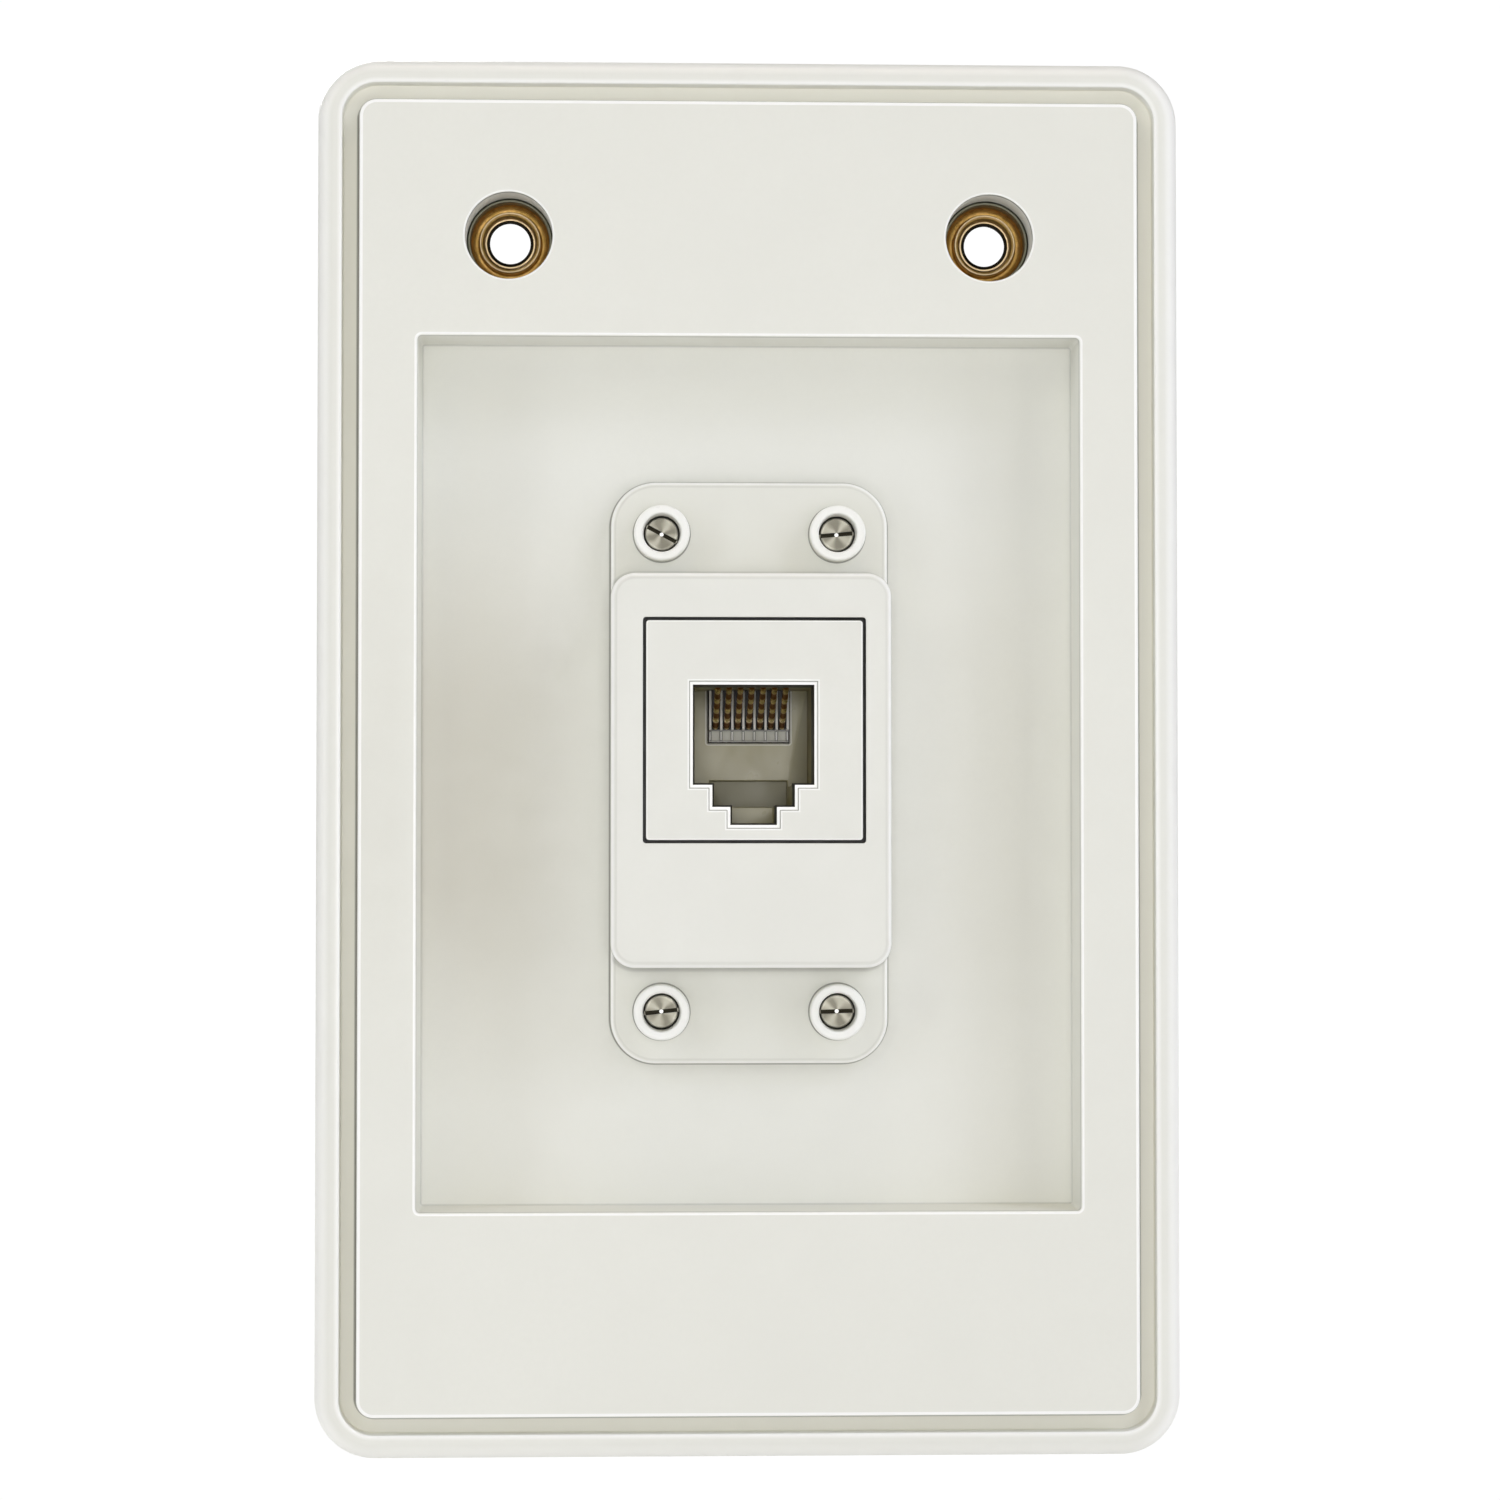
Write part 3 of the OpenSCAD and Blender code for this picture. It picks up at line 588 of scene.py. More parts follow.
def turned_brass(name):
    """Turned brass that has darkened: rings from the lathe, brown stains, a darker grey-green band on the cup's wall,
    painted pale highlights on the rims and painted black shade in the gaps and the bore.
    """
    m = Mat(name)
    local = m.attribute("local", "Vector")
    sep = m.nt.nodes.new("ShaderNodeSeparateXYZ")
    m.nt.links.new(local, sep.inputs[0])
    x, z, h = sep.outputs[0], sep.outputs[1], sep.outputs[2]
    r = m.math("POWER", m.math("ADD", m.math("MULTIPLY", x, x), m.math("MULTIPLY", z, z)), 0.5)
    rings = m.noise(1.0, 2.0, vector=m.math("MULTIPLY", r, 9.0))
    stain = m.ramp(m.noise(1100, 4.0), 0.35, 0.68)
    col = m.mix(m.ramp(rings, 0.35, 0.65), (0.38, 0.215, 0.03, 1), (0.72, 0.47, 0.14, 1))
    col = m.mix(m.math("MULTIPLY", stain, 0.5), col, (0.70, 0.42, 0.15, 1))
    blotch = m.ramp(m.noise(1700, 5.0, 0.7), 0.5, 0.68, 0.0, 0.6)
    col = m.mix(blotch, col, (0.27, 0.13, 0.018, 1))
    ridge = m.attribute("edge")
    # Marks above zero paint pale highlights on the rims; marks below zero paint black shade in the gaps and the bore
    col = m.mix(m.ramp(ridge, 0.0, 1.0, 0.0, 0.85), col, (0.97, 0.78, 0.50, 1))
    col = m.mix(m.ramp(ridge, 0.0, -1.0, 0.0, 1.0), col, (0.012, 0.008, 0.003, 1))
    grey_green_band = m.math("MULTIPLY", m.ramp(r, 3.16, 3.23), m.ramp(h, 2.9, 3.3))
    col = m.mix(m.math("MULTIPLY", grey_green_band, 0.85), col, (0.22, 0.23, 0.18, 1))
    m.plug("Base Color", col)
    m.plug("Roughness", m.ramp(stain, 0.0, 1.0, 0.50, 0.38))
    grit = m.noise(3800, 3.0)
    m.plug("Normal", m.bump(grit, 0.6, 0.00006, m.bump(rings, 0.3, 0.00005)))
    m.set(Metallic=0.75)
    return m.mat


def turned_steel(name):
    """A turned steel head: painted reflections in fans of light and dark round its middle, as on a machined face,
    painted shade in the slot and round the head, and a painted glint at the centre and on the rim.
    """
    m = Mat(name)
    local = m.attribute("local", "Vector")
    sep = m.nt.nodes.new("ShaderNodeSeparateXYZ")
    m.nt.links.new(local, sep.inputs[0])
    angle = m.math("ARCTAN2", sep.outputs[1], sep.outputs[0])
    r = m.math("POWER", m.math("ADD", m.math("MULTIPLY", sep.outputs[0], sep.outputs[0]),
                               m.math("MULTIPLY", sep.outputs[1], sep.outputs[1])), 0.5)
    reflection_fan = m.math("SINE", m.math("ADD", m.math("MULTIPLY", angle, 4.0), m.math("MULTIPLY", m.noise(500, 2.0), 7.0)))
    reflection_fan = m.ramp(reflection_fan, -0.8, 0.9)
    rings = m.ramp(m.noise(1.0, 2.0, vector=m.math("MULTIPLY", r, 14.0)), 0.35, 0.65)
    col = m.mix(reflection_fan, (0.18, 0.17, 0.135, 1), (0.40, 0.385, 0.32, 1))
    col = m.mix(m.math("MULTIPLY", rings, 0.3), col, (0.33, 0.31, 0.25, 1))
    # Painted shade in the slot
    slot = m.math("MULTIPLY", m.ramp(sep.outputs[2], 3.84, 3.76), m.ramp(r, 1.36, 1.30))
    col = m.mix(slot, col, (0.02, 0.018, 0.012, 1))
    # Painted glint at the centre
    col = m.mix(m.ramp(r, 0.19, 0.13), col, (0.97, 0.96, 0.92, 1))
    # Painted highlight on the rim of the head, and painted shade round it
    col = m.mix(m.ramp(m.attribute("edge"), 0.0, 1.0, 0.0, 0.8), col, (0.9, 0.88, 0.8, 1))
    col = m.mix(m.ramp(m.attribute("edge"), 0.0, -1.0, 0.0, 1.0), col, (0.02, 0.02, 0.015, 1))
    m.plug("Base Color", col)
    m.plug("Roughness", m.ramp(rings, 0.0, 1.0, 0.34, 0.46))
    m.plug("Normal", m.bump(rings, 0.2, 0.00003))
    m.set(Metallic=1.0)
    return m.mat


def gold_wire(name):
    m = Mat(name)
    s = m.attribute("edge")
    # Painted glints: bright gold bands, glossier, between dark brown ones along the wire
    glint_bands = m.math("SINE", m.math("MULTIPLY", s, 2 * math.pi / 2.05))
    glint_bands = m.ramp(m.math("ADD", glint_bands, m.math("MULTIPLY", m.noise(1900, 3.0), 0.9)), 0.2, 1.25)
    col = m.mix(glint_bands, (0.30, 0.12, 0.016, 1), (1.0, 0.82, 0.44, 1))
    m.plug("Base Color", col)
    m.plug("Roughness", m.ramp(glint_bands, 0.0, 1.0, 0.42, 0.26))
    m.plug("Normal", m.bump(m.noise(9000, 2.0), 0.15, 0.00001))
    m.set(Metallic=1.0)
    return m.mat


ferrule_brass = turned_brass("darkened_brass")
screw_steel = turned_steel("turned_steel")
plain_steel = metal("plated_steel", (0.30, 0.29, 0.25), (0.52, 0.50, 0.44), (0.72, 0.70, 0.64), 0.34)
tinned = metal("tinned_metal", (0.48, 0.47, 0.43), (0.66, 0.65, 0.60), (0.82, 0.81, 0.77), 0.3)
contact_gold = gold_wire("gold_wire")


def laminate(name):
    m = Mat(name)
    weave = m.math("MULTIPLY", m.math("SINE", m.math("MULTIPLY", m.noise(3000, 1.0), 20.0)), 0.5)
    col = m.mix(m.ramp(m.noise(140, 3.0), 0.3, 0.7), (0.018, 0.12, 0.045, 1), (0.03, 0.17, 0.07, 1))
    m.plug("Base Color", m.mix(m.ramp(weave, -0.5, 0.5, 0.0, 0.3), col, (0.06, 0.22, 0.09, 1)))
    m.plug("Roughness", m.ramp(m.noise(700, 3.0), 0.3, 0.7, 0.22, 0.4))
    m.plug("Normal", m.bump(weave, 0.1, 0.00003))
    return m.mat


board_green = laminate("solder_mask")
terminal_plastic = plastic("moulded_green", (0.05, 0.21, 0.09), rough=0.4, spread=0.04, edges=False)

# ---------------------------------------------------------------------------
# Plate
# ---------------------------------------------------------------------------



def surround():
    s = Shell()
    loop = rrect(0, 0, PLATE_W, PLATE_H, PLATE_R, 24)
    inner = -RIM_W
    ledge = inner - GROOVE_W - SEAT
    lip, soft = 0.19, 0.1
    wall = inner - GROOVE_W
    # Marks in the profile: above zero paint highlights, strongest on the rim's inner lip and fainter on the rim's wall
    # and roll; below zero paint shade in the groove's corner by the panel and underneath.
    profile = [
        *bend(-0.25, 0, 0, 0.25, 4, "h", 0.6),
        (0, 2.0, 0), (0, 4.0, 0),
        *bend(0, RIM_H - RIM_ROUND, -RIM_ROUND, RIM_H, 12, "v", 0.35, 0.1, 0.1),
        *bend(inner + lip, RIM_H, inner, RIM_H - lip, 6, "h", 1.0, 0.6, 0.1),
        (inner, RIM_H - lip - 0.1, 0.4), (inner, FLOOR_OF_GROOVE + 0.4, 0.3),
        *bend(inner, FLOOR_OF_GROOVE + soft, inner - soft, FLOOR_OF_GROOVE, 4, "v", 0.15, 0.25, 0.0),
        (inner - soft - 0.06, FLOOR_OF_GROOVE, 0), (wall + 0.33, FLOOR_OF_GROOVE, 0), (wall + 0.26, FLOOR_OF_GROOVE, -0.5),
        (wall, FLOOR_OF_GROOVE, -1.0),
        *bend(ledge + 0.15, FLOOR_OF_GROOVE, ledge, FLOOR_OF_GROOVE - 0.15, 3, "h", 0.3),
        *bend(ledge, FLOOR_OF_GROOVE - 1.35, ledge + 0.15, FLOOR_OF_GROOVE - 1.5, 3, "v", 0.3),
        *bend(inner - 0.3, FLOOR_OF_GROOVE - 1.5, inner, FLOOR_OF_GROOVE - 1.8, 4, "h", -0.3),
        *bend(inner, 0.15, inner + 0.15, 0, 3, "v", 0.3),
    ]
    a, b = s.sweep(loop, profile)
    s.strip(b, a)
    return piece("surround", to_mesh("surround", s), shell_white, "shell_white", "surround_frame")




def panel():
    s = Shell()
    back = FLOOR_OF_GROOVE
    outer = rrect(0, 0, PANEL_W, PANEL_H, PANEL_R, 16)
    e = 0.2
    # Marks in the profiles: above zero paint highlights along the rounded edges of the panel, the pocket and the
    # counterbores; below zero paint shade in the creases, down the counterbores and in the pocket's corners.
    turned = [(e * (math.cos(math.radians(t)) - 1), FACE - e + e * math.sin(math.radians(t)), -0.45 if t < 47 else 1.0)
              for t in (0, 14, 28, 38, 46, 54, 64, 76, 90)]
    out0, out1 = s.sweep(outer, [(0, back, -0.5), (0, back + 0.5, -0.2), (0, 6.6, 0), (0, FACE - e - 0.08, 0), *turned,
                                 (-e - 0.1, FACE, 1.0), (-e - 0.15, FACE, 0.0)])
    pocket = rrect(0, POCKET_Y, POCKET_W, POCKET_H, 0.35, 6)
    pe, soft = 0.15, 0.2
    pock0, pock1 = s.sweep(pocket, [
        (pe + 0.11, FACE, 0.0), (pe + 0.07, FACE, 0.9),
        *bend(pe, FACE, 0, FACE - pe, 7, "h", 0.8, 0.9, -0.3),
        (-0.01, 7.1, -0.3), (-0.02, 6.8, 0), (-0.09, 3.2, 0),
        *bend(-0.11, POCKET_FLOOR + soft, -0.11 - soft, POCKET_FLOOR, 5, "v", -0.22, 0.0, 0.0)])
    sinks, ends, bosses = [], [], []
    for x in (-HOLE_X, HOLE_X):
        c = circle(x, HOLE_Y, 96)
        top, bottom = s.sweep(c, [
            (SINK + 0.19, FACE, 0), *bend(SINK + 0.14, FACE, SINK, FACE - 0.16, 7, "h", 0.9, 0.9, -0.9, 0.2, 0.3),
            (SINK, FACE - 0.28, -0.8), (SINK, FACE - 0.45, 0), (SINK, 4.5, 0), (SINK, 4.3, -0.8),
            (SINK, 1.0, -1), (2.65, 1.0, -1), (2.65, 0.15, 0), (2.8, 0, 0)])
        boss0, boss1 = s.sweep(c, [*bend(4.75, 0, 4.95, 0.2, 4, "h", 0.3), (4.95, back - 0.25, 0),
                                   *bend(4.95, back - 0.25, 5.2, back, 4, "v", -0.4)])
        s.fill(boss0, [bottom])
        sinks.append(top)
        bosses.append(boss1)
    s.fill(out1, [pock0, *sinks], 4.0)
    window = rrect(JACK_X, (14.4 - 16.9) / 2, 19.2, 31.3, 0.2, 3)
    win0, win1 = s.sweep(window, [(0.1, POCKET_FLOOR, 0), (0, POCKET_FLOOR - 0.1, 0), (0, POCKET_BACK, 0)])
    tops, bottoms = [], []
    for x, y in SCREWS:
        a, b = s.sweep(circle(x, y, 32), [(1.15, POCKET_FLOOR, 0), (1.15, POCKET_BACK, 0)])
        tops.append(a)
        bottoms.append(b)
    s.fill(pock1, [win0, *tops], 4.5)
    shell = rrect(0, POCKET_Y, POCKET_W + 2 * POCKET_WALL, POCKET_H + 2 * POCKET_WALL, 1.2, 8)
    box0, box1 = s.sweep(shell, [*bend(-0.3, POCKET_BACK, 0, POCKET_BACK + 0.3, 4, "h", 0.3), (0, back - 0.3, 0),
                                 *bend(0, back - 0.3, 0.3, back, 4, "v", -0.4)])
    s.fill(box0, [win1, *bottoms], 4.5)
    s.fill(out0, [box1, *bosses], 4.5)
    base = to_mesh("front_panel_skin", s)

    adds = []
    ring = Shell()
    d = SEAT + 0.15
    a0, a1 = ring.sweep(rrect(0, 0, PANEL_W - 2 * d, PANEL_H - 2 * d, 1, 8), [(0, back + 0.4, 0), *bend(0, 3.35, -0.15, 3.2, 3, "v", 0.3)])
    d += 1.2
    b0, b1 = ring.sweep(rrect(0, 0, PANEL_W - 2 * d, PANEL_H - 2 * d, 0.6, 8), [(0, back + 0.4, 0), *bend(0, 3.35, 0.15, 3.2, 3, "v", 0.3)])
    ring.strip(a0, b0) if len(a0) == len(b0) else None
    ring.strip(a1, b1)
    adds.append(to_mesh("skirt", ring))
    top0, bot0 = POCKET_Y + POCKET_H / 2 + POCKET_WALL - 0.2, POCKET_Y - POCKET_H / 2 - POCKET_WALL + 0.2
    sk = PANEL_H / 2 - d + 0.2
    for x in (-9, 0, 9):
        adds.append(to_mesh("rib", box_shell(x - 0.6, x + 0.6, top0, sk, 1.2, back + 0.4)))
    adds.append(to_mesh("rib", box_shell(-HOLE_X + 4.5, HOLE_X - 4.5, HOLE_Y - 0.6, HOLE_Y + 0.6, 1.25, back + 0.4)))
    for x in (-27, -18, -9, 0, 9, 18, 27):
        adds.append(to_mesh("rib", box_shell(x - 0.6, x + 0.6, -sk, bot0, 1.2, back + 0.4)))
    return piece("panel", combine("panel", base, adds), panel_white, "panel_white", "front_panel")


def local_attribute(o, cx, cy):
    """Each point's place from its own axis, in millimetres: across, up, and height above the wall."""
    layer = o.data.attributes.new("local", "FLOAT_VECTOR", "POINT")
    for v in o.data.vertices:
        layer.data[v.index].vector = (v.co.x / MM - cx, v.co.z / MM - cy, -v.co.y / MM)


def ferrule(name, node, cx):
    """Turned brass cup: a wall with a rolled lip, a dished floor and a funnel-shaped collar round the bore."""
    s = Shell()
    # Marks: above zero paint pale highlights on the collar; below zero paint black shade on the outer wall, the lip's
    # outside, the funnel and down the bore.
    p = [(2.2, 0.05, -1), (2.25, 0.0, 0), (2.5, 0.0, 0), (2.6, 0.1, 0), (2.6, 1.0, 0),
         (3.42, 1.0, -1), (3.52, 1.1, -1), (3.52, 2.4, -1), (3.52, 4.05, -1)]
    for i in range(1, 8):
        t = math.pi * i / 8
        p.append((3.385 + 0.135 * math.cos(t), 4.165 + 0.135 * math.sin(t), -0.9 + 0.5 * i / 8))
    p += [(3.25, 4.165, -0.25), (3.245, 3.8, 0), (3.235, 3.2, 0)]
    for i in range(0, 9):
        t = math.pi / 2 * i / 8
        p.append((3.235 - 0.5 * (1 - math.cos(t)), 3.0 - 0.45 * math.sin(t), 0.0))
    p += [(2.66, 2.56, -0.15), (2.60, 2.64, -0.1), (2.55, 2.9, 0.1), (2.53, 3.2, 0.15)]
    for i in range(0, 9):
        t = math.pi * i / 8
        p.append((2.44 + 0.09 * math.cos(t), 3.62 + 0.12 * math.sin(t), 0.3 + 0.7 * math.sin(t)))
    for i in range(1, 9):
        t = math.pi / 2 * i / 8
        p.append((2.35 - 0.27 * math.sin(t), 3.62 - 0.56 * (1 - math.cos(t)) - 0.06 * math.sin(t), -0.5 * math.sin(2 * t)))
    p += [(2.07, 3.04, 0.2), (2.04, 3.10, 1.0), (1.95, 3.11, 1.0), (1.92, 3.10, -1.0), (1.75, 3.05, -1.0), (1.67, 2.98, -1.0), (1.69, 2.8, -1.0)]
    s.lathe(cx, HOLE_Y, p, 96)
    o = link(name, to_mesh(name, s))
    local_attribute(o, cx, HOLE_Y)
    return piece(name, o, ferrule_brass, "ferrule_brass", node)


# ---------------------------------------------------------------------------
# Bracket, block and insert
# ---------------------------------------------------------------------------



def bracket():
    s = Shell()
    outline = rrect(JACK_X, BRACKET_Y, 22.85, 47.9, 3.7, 16)
    # Marks: above zero paint highlights on the rounded top edge and round the cups' mouths; below zero paint shade at
    # the foot, beside the edge's highlight, round the cups' feet and down the bores.
    a0, a1 = s.sweep(outline, [(-0.05, BRACKET_BASE, -0.8), (0, BRACKET_BASE + 0.08, -0.4), (0, 3.0, 0), (0, BRACKET_TOP - 0.56, 0),
                               *bend(0, BRACKET_TOP - 0.5, -0.5, BRACKET_TOP, 12, "v", 1.0, -0.95, 0.0, 0.46, 0.22)])
    window = rrect(JACK_X, (13.3 - 15.72) / 2, 18, 29.02, 0.2, 3)
    w0, w1 = s.sweep(window, [(0.1, BRACKET_TOP, 0), (0, BRACKET_TOP - 0.1, 0), (0, BRACKET_BASE, 0)])
    feet, holes = [], []
    for x, y in SCREWS:
        c = circle(x, y, 64)
        top = BRACKET_TOP + 1.5
        f0, f1 = s.sweep(c, [
            (2.42, BRACKET_TOP, 0), (2.38, BRACKET_TOP, -0.5), *bend(2.34, BRACKET_TOP, 2.3, BRACKET_TOP + 0.06, 3, "h", -0.6, -0.6, -0.3),
            (2.3, 4.9, 0), *bend(2.3, top - 0.2, 2.1, top, 6, "v", 0.8, 0.2, 0.6), (1.8, top, 0.55),
            *bend(1.7, top, 1.56, top - 0.2, 5, "h", 0.6, 0.55, 0.3),
            (1.53, 4.9, 0.4), (1.50, 4.1, 0.0), (1.49, 3.95, -0.9), (1.48, 3.0, -1), (1.1, 3.0, -1), (1.1, BRACKET_BASE, 0)])
        feet.append(f0)
        holes.append(f1)
    s.fill(a1, [w0, *feet], 3.0)
    s.fill(a0, [w1, *holes], 4.0)
    return piece("bracket", to_mesh("bracket", s), bracket_white, "bracket_white", "bracket_plate")




def cover():
    s = Shell()
    outline = rrect(JACK_X, BLOCK_Y, 22.85, 32.1, 2, 14)
    # Marks: above zero paint a highlight on the rounded top edge; below zero paint shade at the foot, beside that
    # highlight and down the window's walls.
    a0, a1 = s.sweep(outline, [(-0.06, BRACKET_TOP, -0.9), (0, BRACKET_TOP + 0.1, -0.3), (0, 6.5, 0), (0, BLOCK_TOP - 0.67, 0),
                               *bend(0, BLOCK_TOP - 0.6, -0.6, BLOCK_TOP, 14, "v", 1.0, -0.95, 0.0, 0.46, 0.24)])
    hollow = rrect(JACK_X, BLOCK_Y, 22.85 - 3.2, 32.1 - 3.2, 0.6, 5)
    h0, h1 = s.sweep(hollow, [(0, BRACKET_TOP, 0), (0, BLOCK_TOP - 1.5, 0)])
    window = rrect(INSERT_X, INSERT_Y, INSERT_W + 0.4, INSERT_H + 0.4, 0.25, 4)
    w0, w1 = s.sweep(window, [*bend(0.08, BLOCK_TOP, 0, BLOCK_TOP - 0.08, 4, "h", 0.2, 0.0, -1.0), (0, 8.6, -1), (0, BLOCK_TOP - 1.5, -1)])
    s.fill(a1, [w0], 3.0)
    s.strip(a0, h0) if len(a0) == len(h0) else s.fill(a0, [h0])
    s.fill(h1, [w1])
    base = to_mesh("jack_cover_skin", s)
    adds = []
    for y0, way in ((BLOCK_Y + 16.05 - 1.6, 1), (BLOCK_Y - 16.05 + 1.6, -1)):
        a = y0 - 1.2 if way > 0 else y0
        adds.append(to_mesh("leg", box_shell(JACK_X - 4, JACK_X + 4, a - (0.0 if way > 0 else 0.05), a + 1.2 + (0.05 if way > 0 else 0.0), BRACKET_BASE - 0.9, BLOCK_TOP - 1.3, 0.1)))
        b = y0 - 0.2 if way > 0 else y0 - 0.74
        adds.append(to_mesh("hook", box_shell(JACK_X - 3.95, JACK_X + 3.95, b, b + 0.94, BRACKET_BASE - 0.85, BRACKET_BASE - 0.1, 0.1)))
    return piece("cover", combine("cover", base, adds), block_white, "block_white", "jack_cover")




def insert():
    s = Shell()
    y0, y1, y2 = OPEN_BOTTOM, OPEN_BOTTOM - STEP1_H, OPEN_BOTTOM - STEP1_H - STEP2_H
    w, a, b, k = OPEN_W / 2, STEP1_W / 2, STEP2_W / 2, 0.36

    def outline(side, up):
        return [(OPEN_X + x, y) for x, y in (
            (-b, y2), (b, y2), (b, y1), (a, y1), (a, y0), (w, y0), (side, y0), (side, up),
            (-side, up), (-side, y0), (-w, y0), (-a, y0), (-a, y1), (-b, y1))]

    ledge = BLOCK_TOP - 0.18
    # Marks: above zero paint highlights on the face's edge and the ledge; below zero paint shade in a dark line round
    # the opening, down the throat's walls and down the insert's sides.
    r0, o2 = s.sweep(polygon(outline(w + 1e-4, OPEN_TOP)), [
        (k + 0.15, BLOCK_TOP, 0), (k + 0.11, BLOCK_TOP, 0.7), *bend(k + 0.05, BLOCK_TOP, k, BLOCK_TOP - 0.05, 4, "h", 0.5, 0.7, -0.3),
        (k, ledge, -0.6), (k - 0.06, ledge, -0.35), (k - 0.09, ledge, 1.0), (0.08, ledge, 1.0), (0.055, ledge, -1.0), (0.02, ledge - 0.04, -1.0),
        (-0.08, 8.6, -1.0), (-0.08, INSERT_BACK, -1.0)])
    body = rrect(INSERT_X, INSERT_Y, INSERT_W, INSERT_H, 0.3, 4)
    b0, b1 = s.sweep(body, [(-0.18, BLOCK_TOP, 0), (-0.15, BLOCK_TOP, 0.8), *bend(-0.12, BLOCK_TOP, -0.05, BLOCK_TOP - 0.07, 5, "h", 0.3, 0.8, -1.0), (-0.05, 8.6, -1), (0, 8.3, -1), (0, BLOCK_TOP - 1.5, -1)])
    flange = rrect(INSERT_X, INSERT_Y, INSERT_W + 0.9, INSERT_H + 0.8, 0.3, 4)
    f0, f1 = s.sweep(flange, [(0, BLOCK_TOP - 1.5, -1), (0, INSERT_BACK, 0)])
    s.strip(b1, f0)
    s.fill(b0, [r0], 2.6)
    s.fill(f1, [o2])
    return piece("insert", to_mesh("insert", s), insert_white, "insert_white", "jack_insert")


def bracket_screw(name, cx, cy, turn):
    """Slotted screw with a turned head. The thread is cut as one helix down the shank."""
    s = Shell()
    seat, top = 3.0, 3.9
    # Marks: above zero paint a highlight on the head's rim and at its centre; below zero paint shade round the head's
    # foot.
    p = [(0.001, top - 0.03, 0.5), (0.2, top - 0.025, 0), (0.6, top - 0.015, 0), (1.1, top, 0), (1.29, top, 0.1),
         (1.35, top - 0.02, 1), (1.4, top - 0.08, 0.5), (1.42, top - 0.16, -0.3), (1.42, seat + 0.05, -1), (1.37, seat, -1), (0.98, seat, 0)]
    n, pitch, low = 40, 0.55, -3.2
    rings = s.lathe(cx, cy, p, n, closed=False)
    s.fill(rings[0])
    steps = int((seat - low) / pitch * 8)
    last = rings[-1]
    for k in range(1, steps + 1):
        z = seat - (seat - low) * k / steps
        ring = []
        for i in range(n):
            a = 2 * math.pi * i / n
            turnpos = ((seat - z) / pitch + i / n) % 1.0
            depth = 0.17 * (1 - abs(2 * turnpos - 1)) * min(1.0, (seat - z) / 0.5, (z - low) / 0.4 + 0.15)
            r = 0.985 - max(0.0, depth)
            ring.append((cx + r * math.cos(a), cy + r * math.sin(a)))
        now = s.ring(ring, z, 0.0)
        s.strip(last, now)
        last = now
    tip = s.ring(circle(cx, cy, n)(0.4), -3.8, 0.0)
    s.strip(last, tip)
    s.fill(tip)
    base = to_mesh(name, s)
    cut = Shell()
    c, d = math.cos(math.radians(turn)), math.sin(math.radians(turn))
    pts = [(cx + x * c - y * d, cy + x * d + y * c) for x, y in ((-2, -0.17), (2, -0.17), (2, 0.17), (-2, 0.17))]
    a, b = cut.sweep(polygon(pts), [(0, 3.5, 0), (0, 4.6, 0)])
    cut.fill(a)
    cut.fill(b)
    o = combine(name, base, (), [to_mesh("slot", cut)])
    local_attribute(o, cx, cy)
    return piece(name, o, screw_steel, "screw_steel", "bracket_screws")


def contact(i):
    """Spring wire with the fine swellings that its plating shows."""
    s = Shell()
    x = OPEN_X + (i - 4) * 0.93
    path = [(6.75, -7.6 + 12.8 * k / 24) for k in range(25)]
    for k in range(1, 15):
        a = math.radians(90 - 159.4 * k / 14)
        path.append((6.2 + 0.55 * math.sin(a), 5.2 + 0.55 * math.cos(a)))
    start = path[-1]
    lead = 12.8 + 0.55 * math.radians(159.4)
    for k in range(1, 73):
        t = 8.6 * k / 72
        path.append((start[0] - 0.352 * t, start[1] - 0.936 * t))

    def radius(along):
        t = along - lead
        end = min(1.0, along / 0.15 + 0.3, (lead + 8.6 - along) / 0.15 + 0.3)
        return (0.23 if t < 0.2 else 0.250 + 0.014 * math.sin(2 * math.pi * t / 2.05)) * end

    s.tube(x, path, radius, 16)
    o = link(f"contact_wire_{i}", to_mesh(f"contact_wire_{i}", s))
    return piece(f"contact_wire_{i}", o, contact_gold, "contact_gold", f"contact_{i}")


surround()
panel()
ferrule("ferrule_cup_left", "ferrule_left", -HOLE_X)
ferrule("ferrule_cup_right", "ferrule_right", HOLE_X)
bracket()
cover()
insert()
for (cx, cy), name, turn in zip(SCREWS, ("bl", "tl", "br", "tr"), (6, -28, 2, 5)):
    bracket_screw(f"bracket_screw_{name}", cx, cy, turn)
for i in range(1, 8):
    contact(i)

# ---------------------------------------------------------------------------
# CAD nodes that stay, with softened edges and their own finishes
# ---------------------------------------------------------------------------


def keep(node, material, edge=0.08):
    o = CAD[node]
    o.data.materials.clear()
    o.data.materials.append(material)
    m = o.modifiers.new("weld", "WELD")
    m.merge_threshold = 1e-7
    m = o.modifiers.new("flats", "DECIMATE")
    m.decimate_type, m.angle_limit = "DISSOLVE", math.radians(0.6)
    m = o.modifiers.new("edges", "BEVEL")
    m.width, m.segments, m.limit_method, m.angle_limit = edge * MM, 2, "ANGLE", math.radians(40)
    m.use_clamp_overlap, m.miter_outer = True, "MITER_SHARP"
    m = o.modifiers.new("weighted", "WEIGHTED_NORMAL")
    m.mode, m.keep_sharp = "FACE_AREA", False
    for p in o.data.polygons:
        p.use_smooth = True


keep("jack_module", jack_shade_taupe, 0.06)
keep("contact_carrier", comb_pale, 0.03)
keep("circuit_board", board_green, 0.05)
keep("terminal_block", terminal_plastic, 0.1)
keep("terminal_clamps", tinned, 0.06)
keep("terminal_screws", plain_steel, 0.05)
keep("rear_housing", case_white, 0.15)
keep("rear_cover", case_white, 0.2)
keep("rear_cover_screws", plain_steel, 0.05)

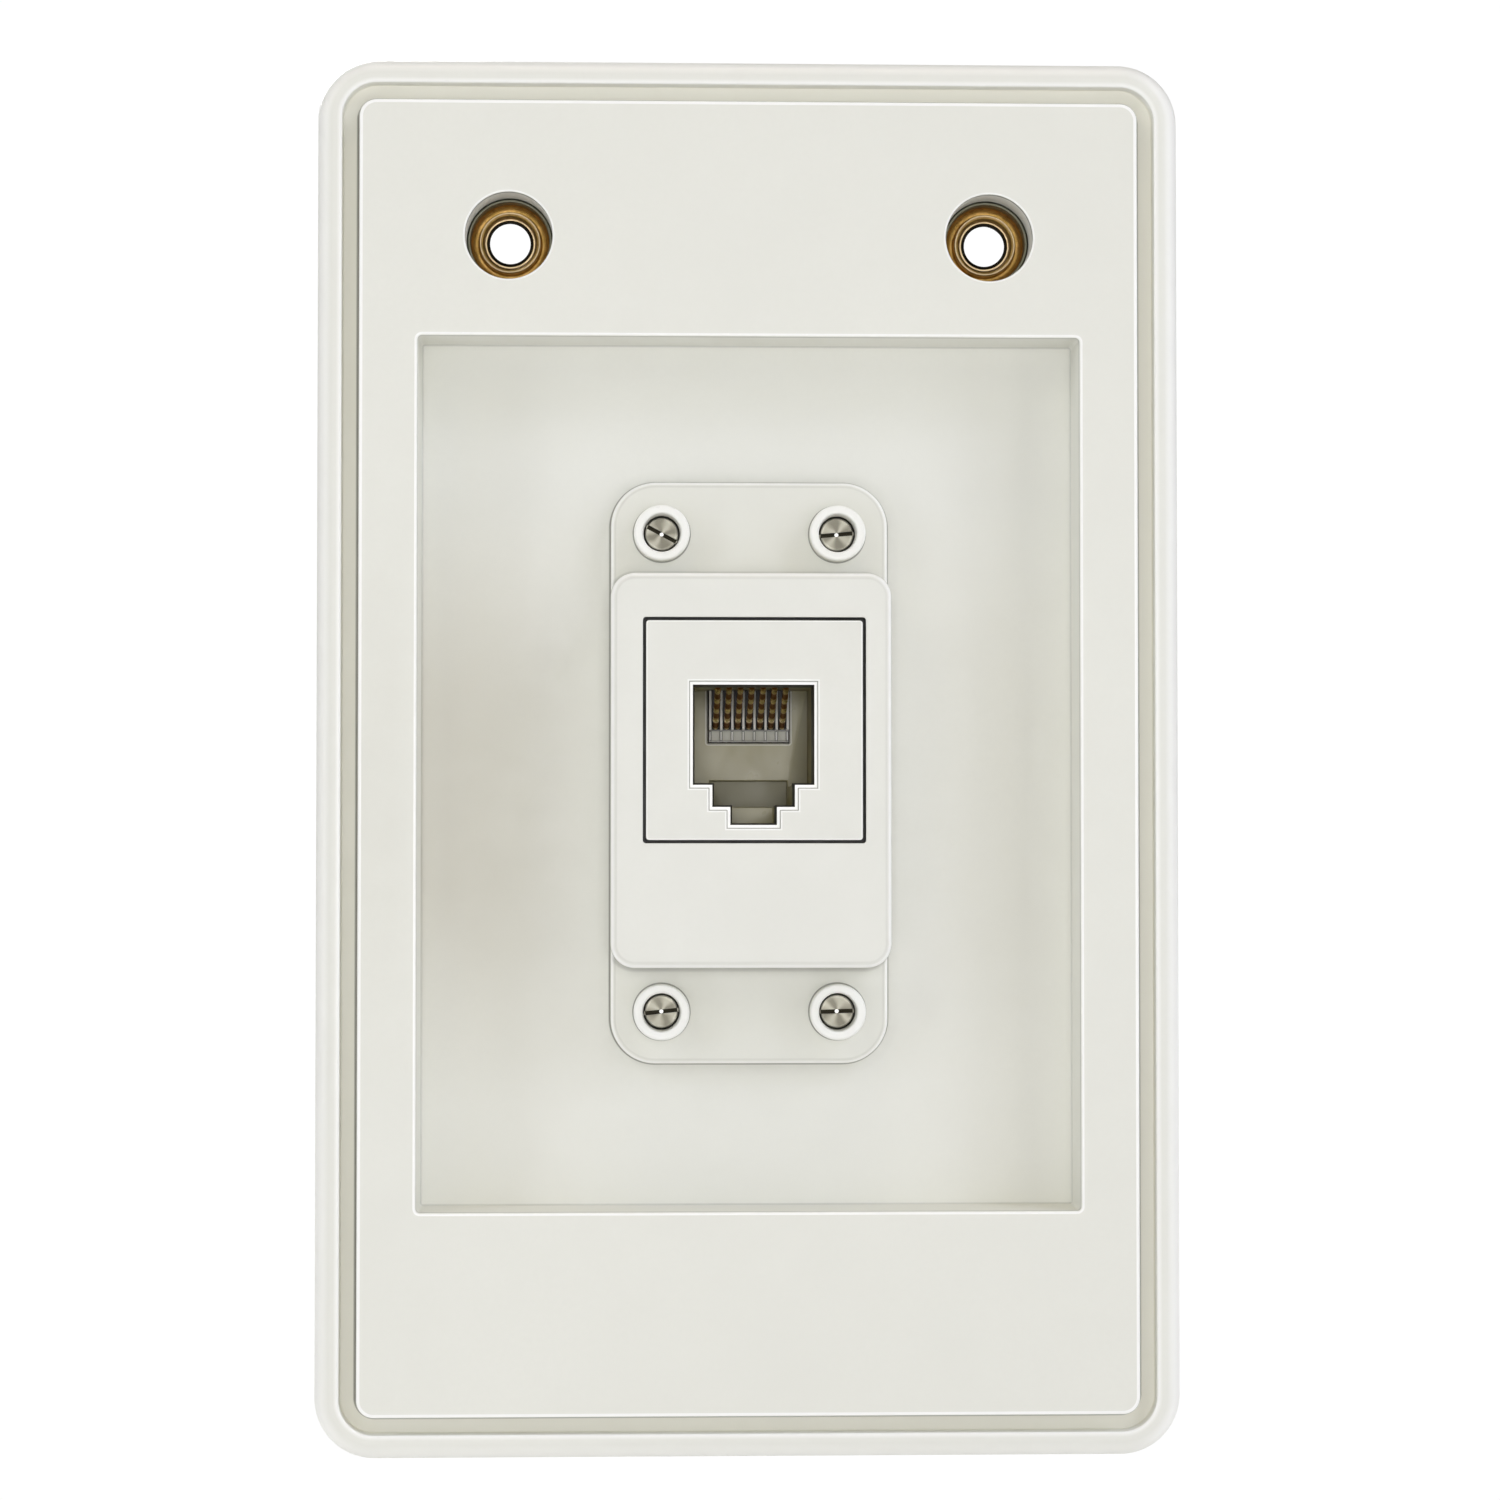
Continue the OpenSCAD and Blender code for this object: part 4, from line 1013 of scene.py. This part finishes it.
# ---------------------------------------------------------------------------
# Stage, light and camera
# ---------------------------------------------------------------------------

floor_mesh = bpy.data.meshes.new("floor")
floor_mesh.from_pydata([(-3, -3, -0.085), (3, -3, -0.085), (3, 3, -0.085), (-3, 3, -0.085)], [], [(0, 1, 2, 3)])
floor = link("floor", floor_mesh)
fm = Mat("pale_floor")
fm.plug("Base Color", fm.mix(fm.ramp(fm.noise(3, 2.0), 0.3, 0.7), (0.9, 0.9, 0.9, 1), (0.92, 0.92, 0.92, 1)))
fm.plug("Roughness", fm.ramp(fm.noise(20, 2.0), 0.3, 0.7, 0.8, 0.9))
floor_mesh.materials.append(fm.mat)
# It throws light back at the plate, and the white world shows in its place from every side
floor.visible_camera = False

world = bpy.data.worlds.new("studio")
bpy.context.scene.world = world
world.use_nodes = True
wn = world.node_tree.nodes
wn.clear()
seen, fills = wn.new("ShaderNodeBackground"), wn.new("ShaderNodeBackground")
seen.inputs[0].default_value, seen.inputs[1].default_value = (1, 1, 1, 1), 1.02
fills.inputs[0].default_value, fills.inputs[1].default_value = (0.98, 0.98, 1.0, 1), 0.21
path, both, wout = wn.new("ShaderNodeLightPath"), wn.new("ShaderNodeMixShader"), wn.new("ShaderNodeOutputWorld")
world.node_tree.links.new(path.outputs["Is Camera Ray"], both.inputs[0])
world.node_tree.links.new(fills.outputs[0], both.inputs[1])
world.node_tree.links.new(seen.outputs[0], both.inputs[2])
world.node_tree.links.new(both.outputs[0], wout.inputs[0])


def lamp(name, azimuth, elevation, distance, depth, width, r, g, b):
    """A soft panel that faces the plate. Azimuth 0 is to the right and 90 above, elevation is from the wall towards
    the room. depth is its size along the elevation, width its size across, and r, g, b its power."""
    a, e = math.radians(azimuth), math.radians(elevation)
    d = Vector((math.cos(a) * math.cos(e), -math.sin(e), math.sin(a) * math.cos(e)))
    across = Vector((-math.sin(a), 0, math.cos(a)))
    data = bpy.data.lights.new(name, "AREA")
    top = max(r, g, b)
    data.shape, data.size, data.size_y = "RECTANGLE", depth, width
    data.energy, data.color = top, (r / top, g / top, b / top)
    o = bpy.data.objects.new(name, data)
    o.location = d * distance
    o.rotation_mode = "QUATERNION"
    o.rotation_quaternion = Matrix((across.cross(d), across, d)).transposed().to_quaternion()
    o.visible_camera = False
    bpy.context.scene.collection.objects.link(o)
    return o


lamp("right_low", 0, 25, 0.7, 0.13, 0.90, 1.40, 1.46, 1.63)
lamp("left_low", 180, 25, 0.7, 0.13, 0.90, 1.42, 1.48, 1.64)
lamp("right_key", 0, 45, 0.7, 0.13, 0.70, 0.50, 0.49, 0.42)
lamp("upper_right", 45, 25, 0.7, 0.13, 0.30, 0.72, 0.73, 0.87)
lamp("upper_left", 135, 45, 0.7, 0.13, 0.30, 0.30, 0.29, 0.22)
lamp("upper_left_low", 135, 25, 0.7, 0.13, 0.30, 0.31, 0.30, 0.32)
lamp("top", 90, 15, 0.7, 0.13, 0.30, 0.48, 0.39, 0.24)
lamp("front", 0, 89.9, 0.7, 0.24, 0.24, 1.15, 1.15, 1.15)
lamp("behind", 120, -50, 0.7, 0.30, 0.30, 3.1, 3.1, 3.1)
lamp("behind_straight", 0, -89.9, 0.7, 0.24, 0.24, 0.5, 0.5, 0.5)
lamp("behind_right", -20, -35, 0.7, 0.30, 0.30, 1.0, 1.0, 1.05)

cam_data = bpy.data.cameras.new("camera")
cam = bpy.data.objects.new("camera", cam_data)
bpy.context.scene.collection.objects.link(cam)
cam.location = (-0.01056, -0.3075, -0.00769)
aim = Vector(((750 - 620) / 12.27 * MM, 0.300, (850 - 750) / 12.27 * MM))
cam.rotation_euler = aim.to_track_quat("-Z", "Y").to_euler()
cam_data.sensor_width, cam_data.lens = 36.0, 88.52
cam_data.clip_start, cam_data.clip_end = 0.01, 20
bpy.context.scene.camera = cam

bpy.context.scene.view_settings.view_transform = "Standard"
bpy.context.scene.view_settings.look = "None"
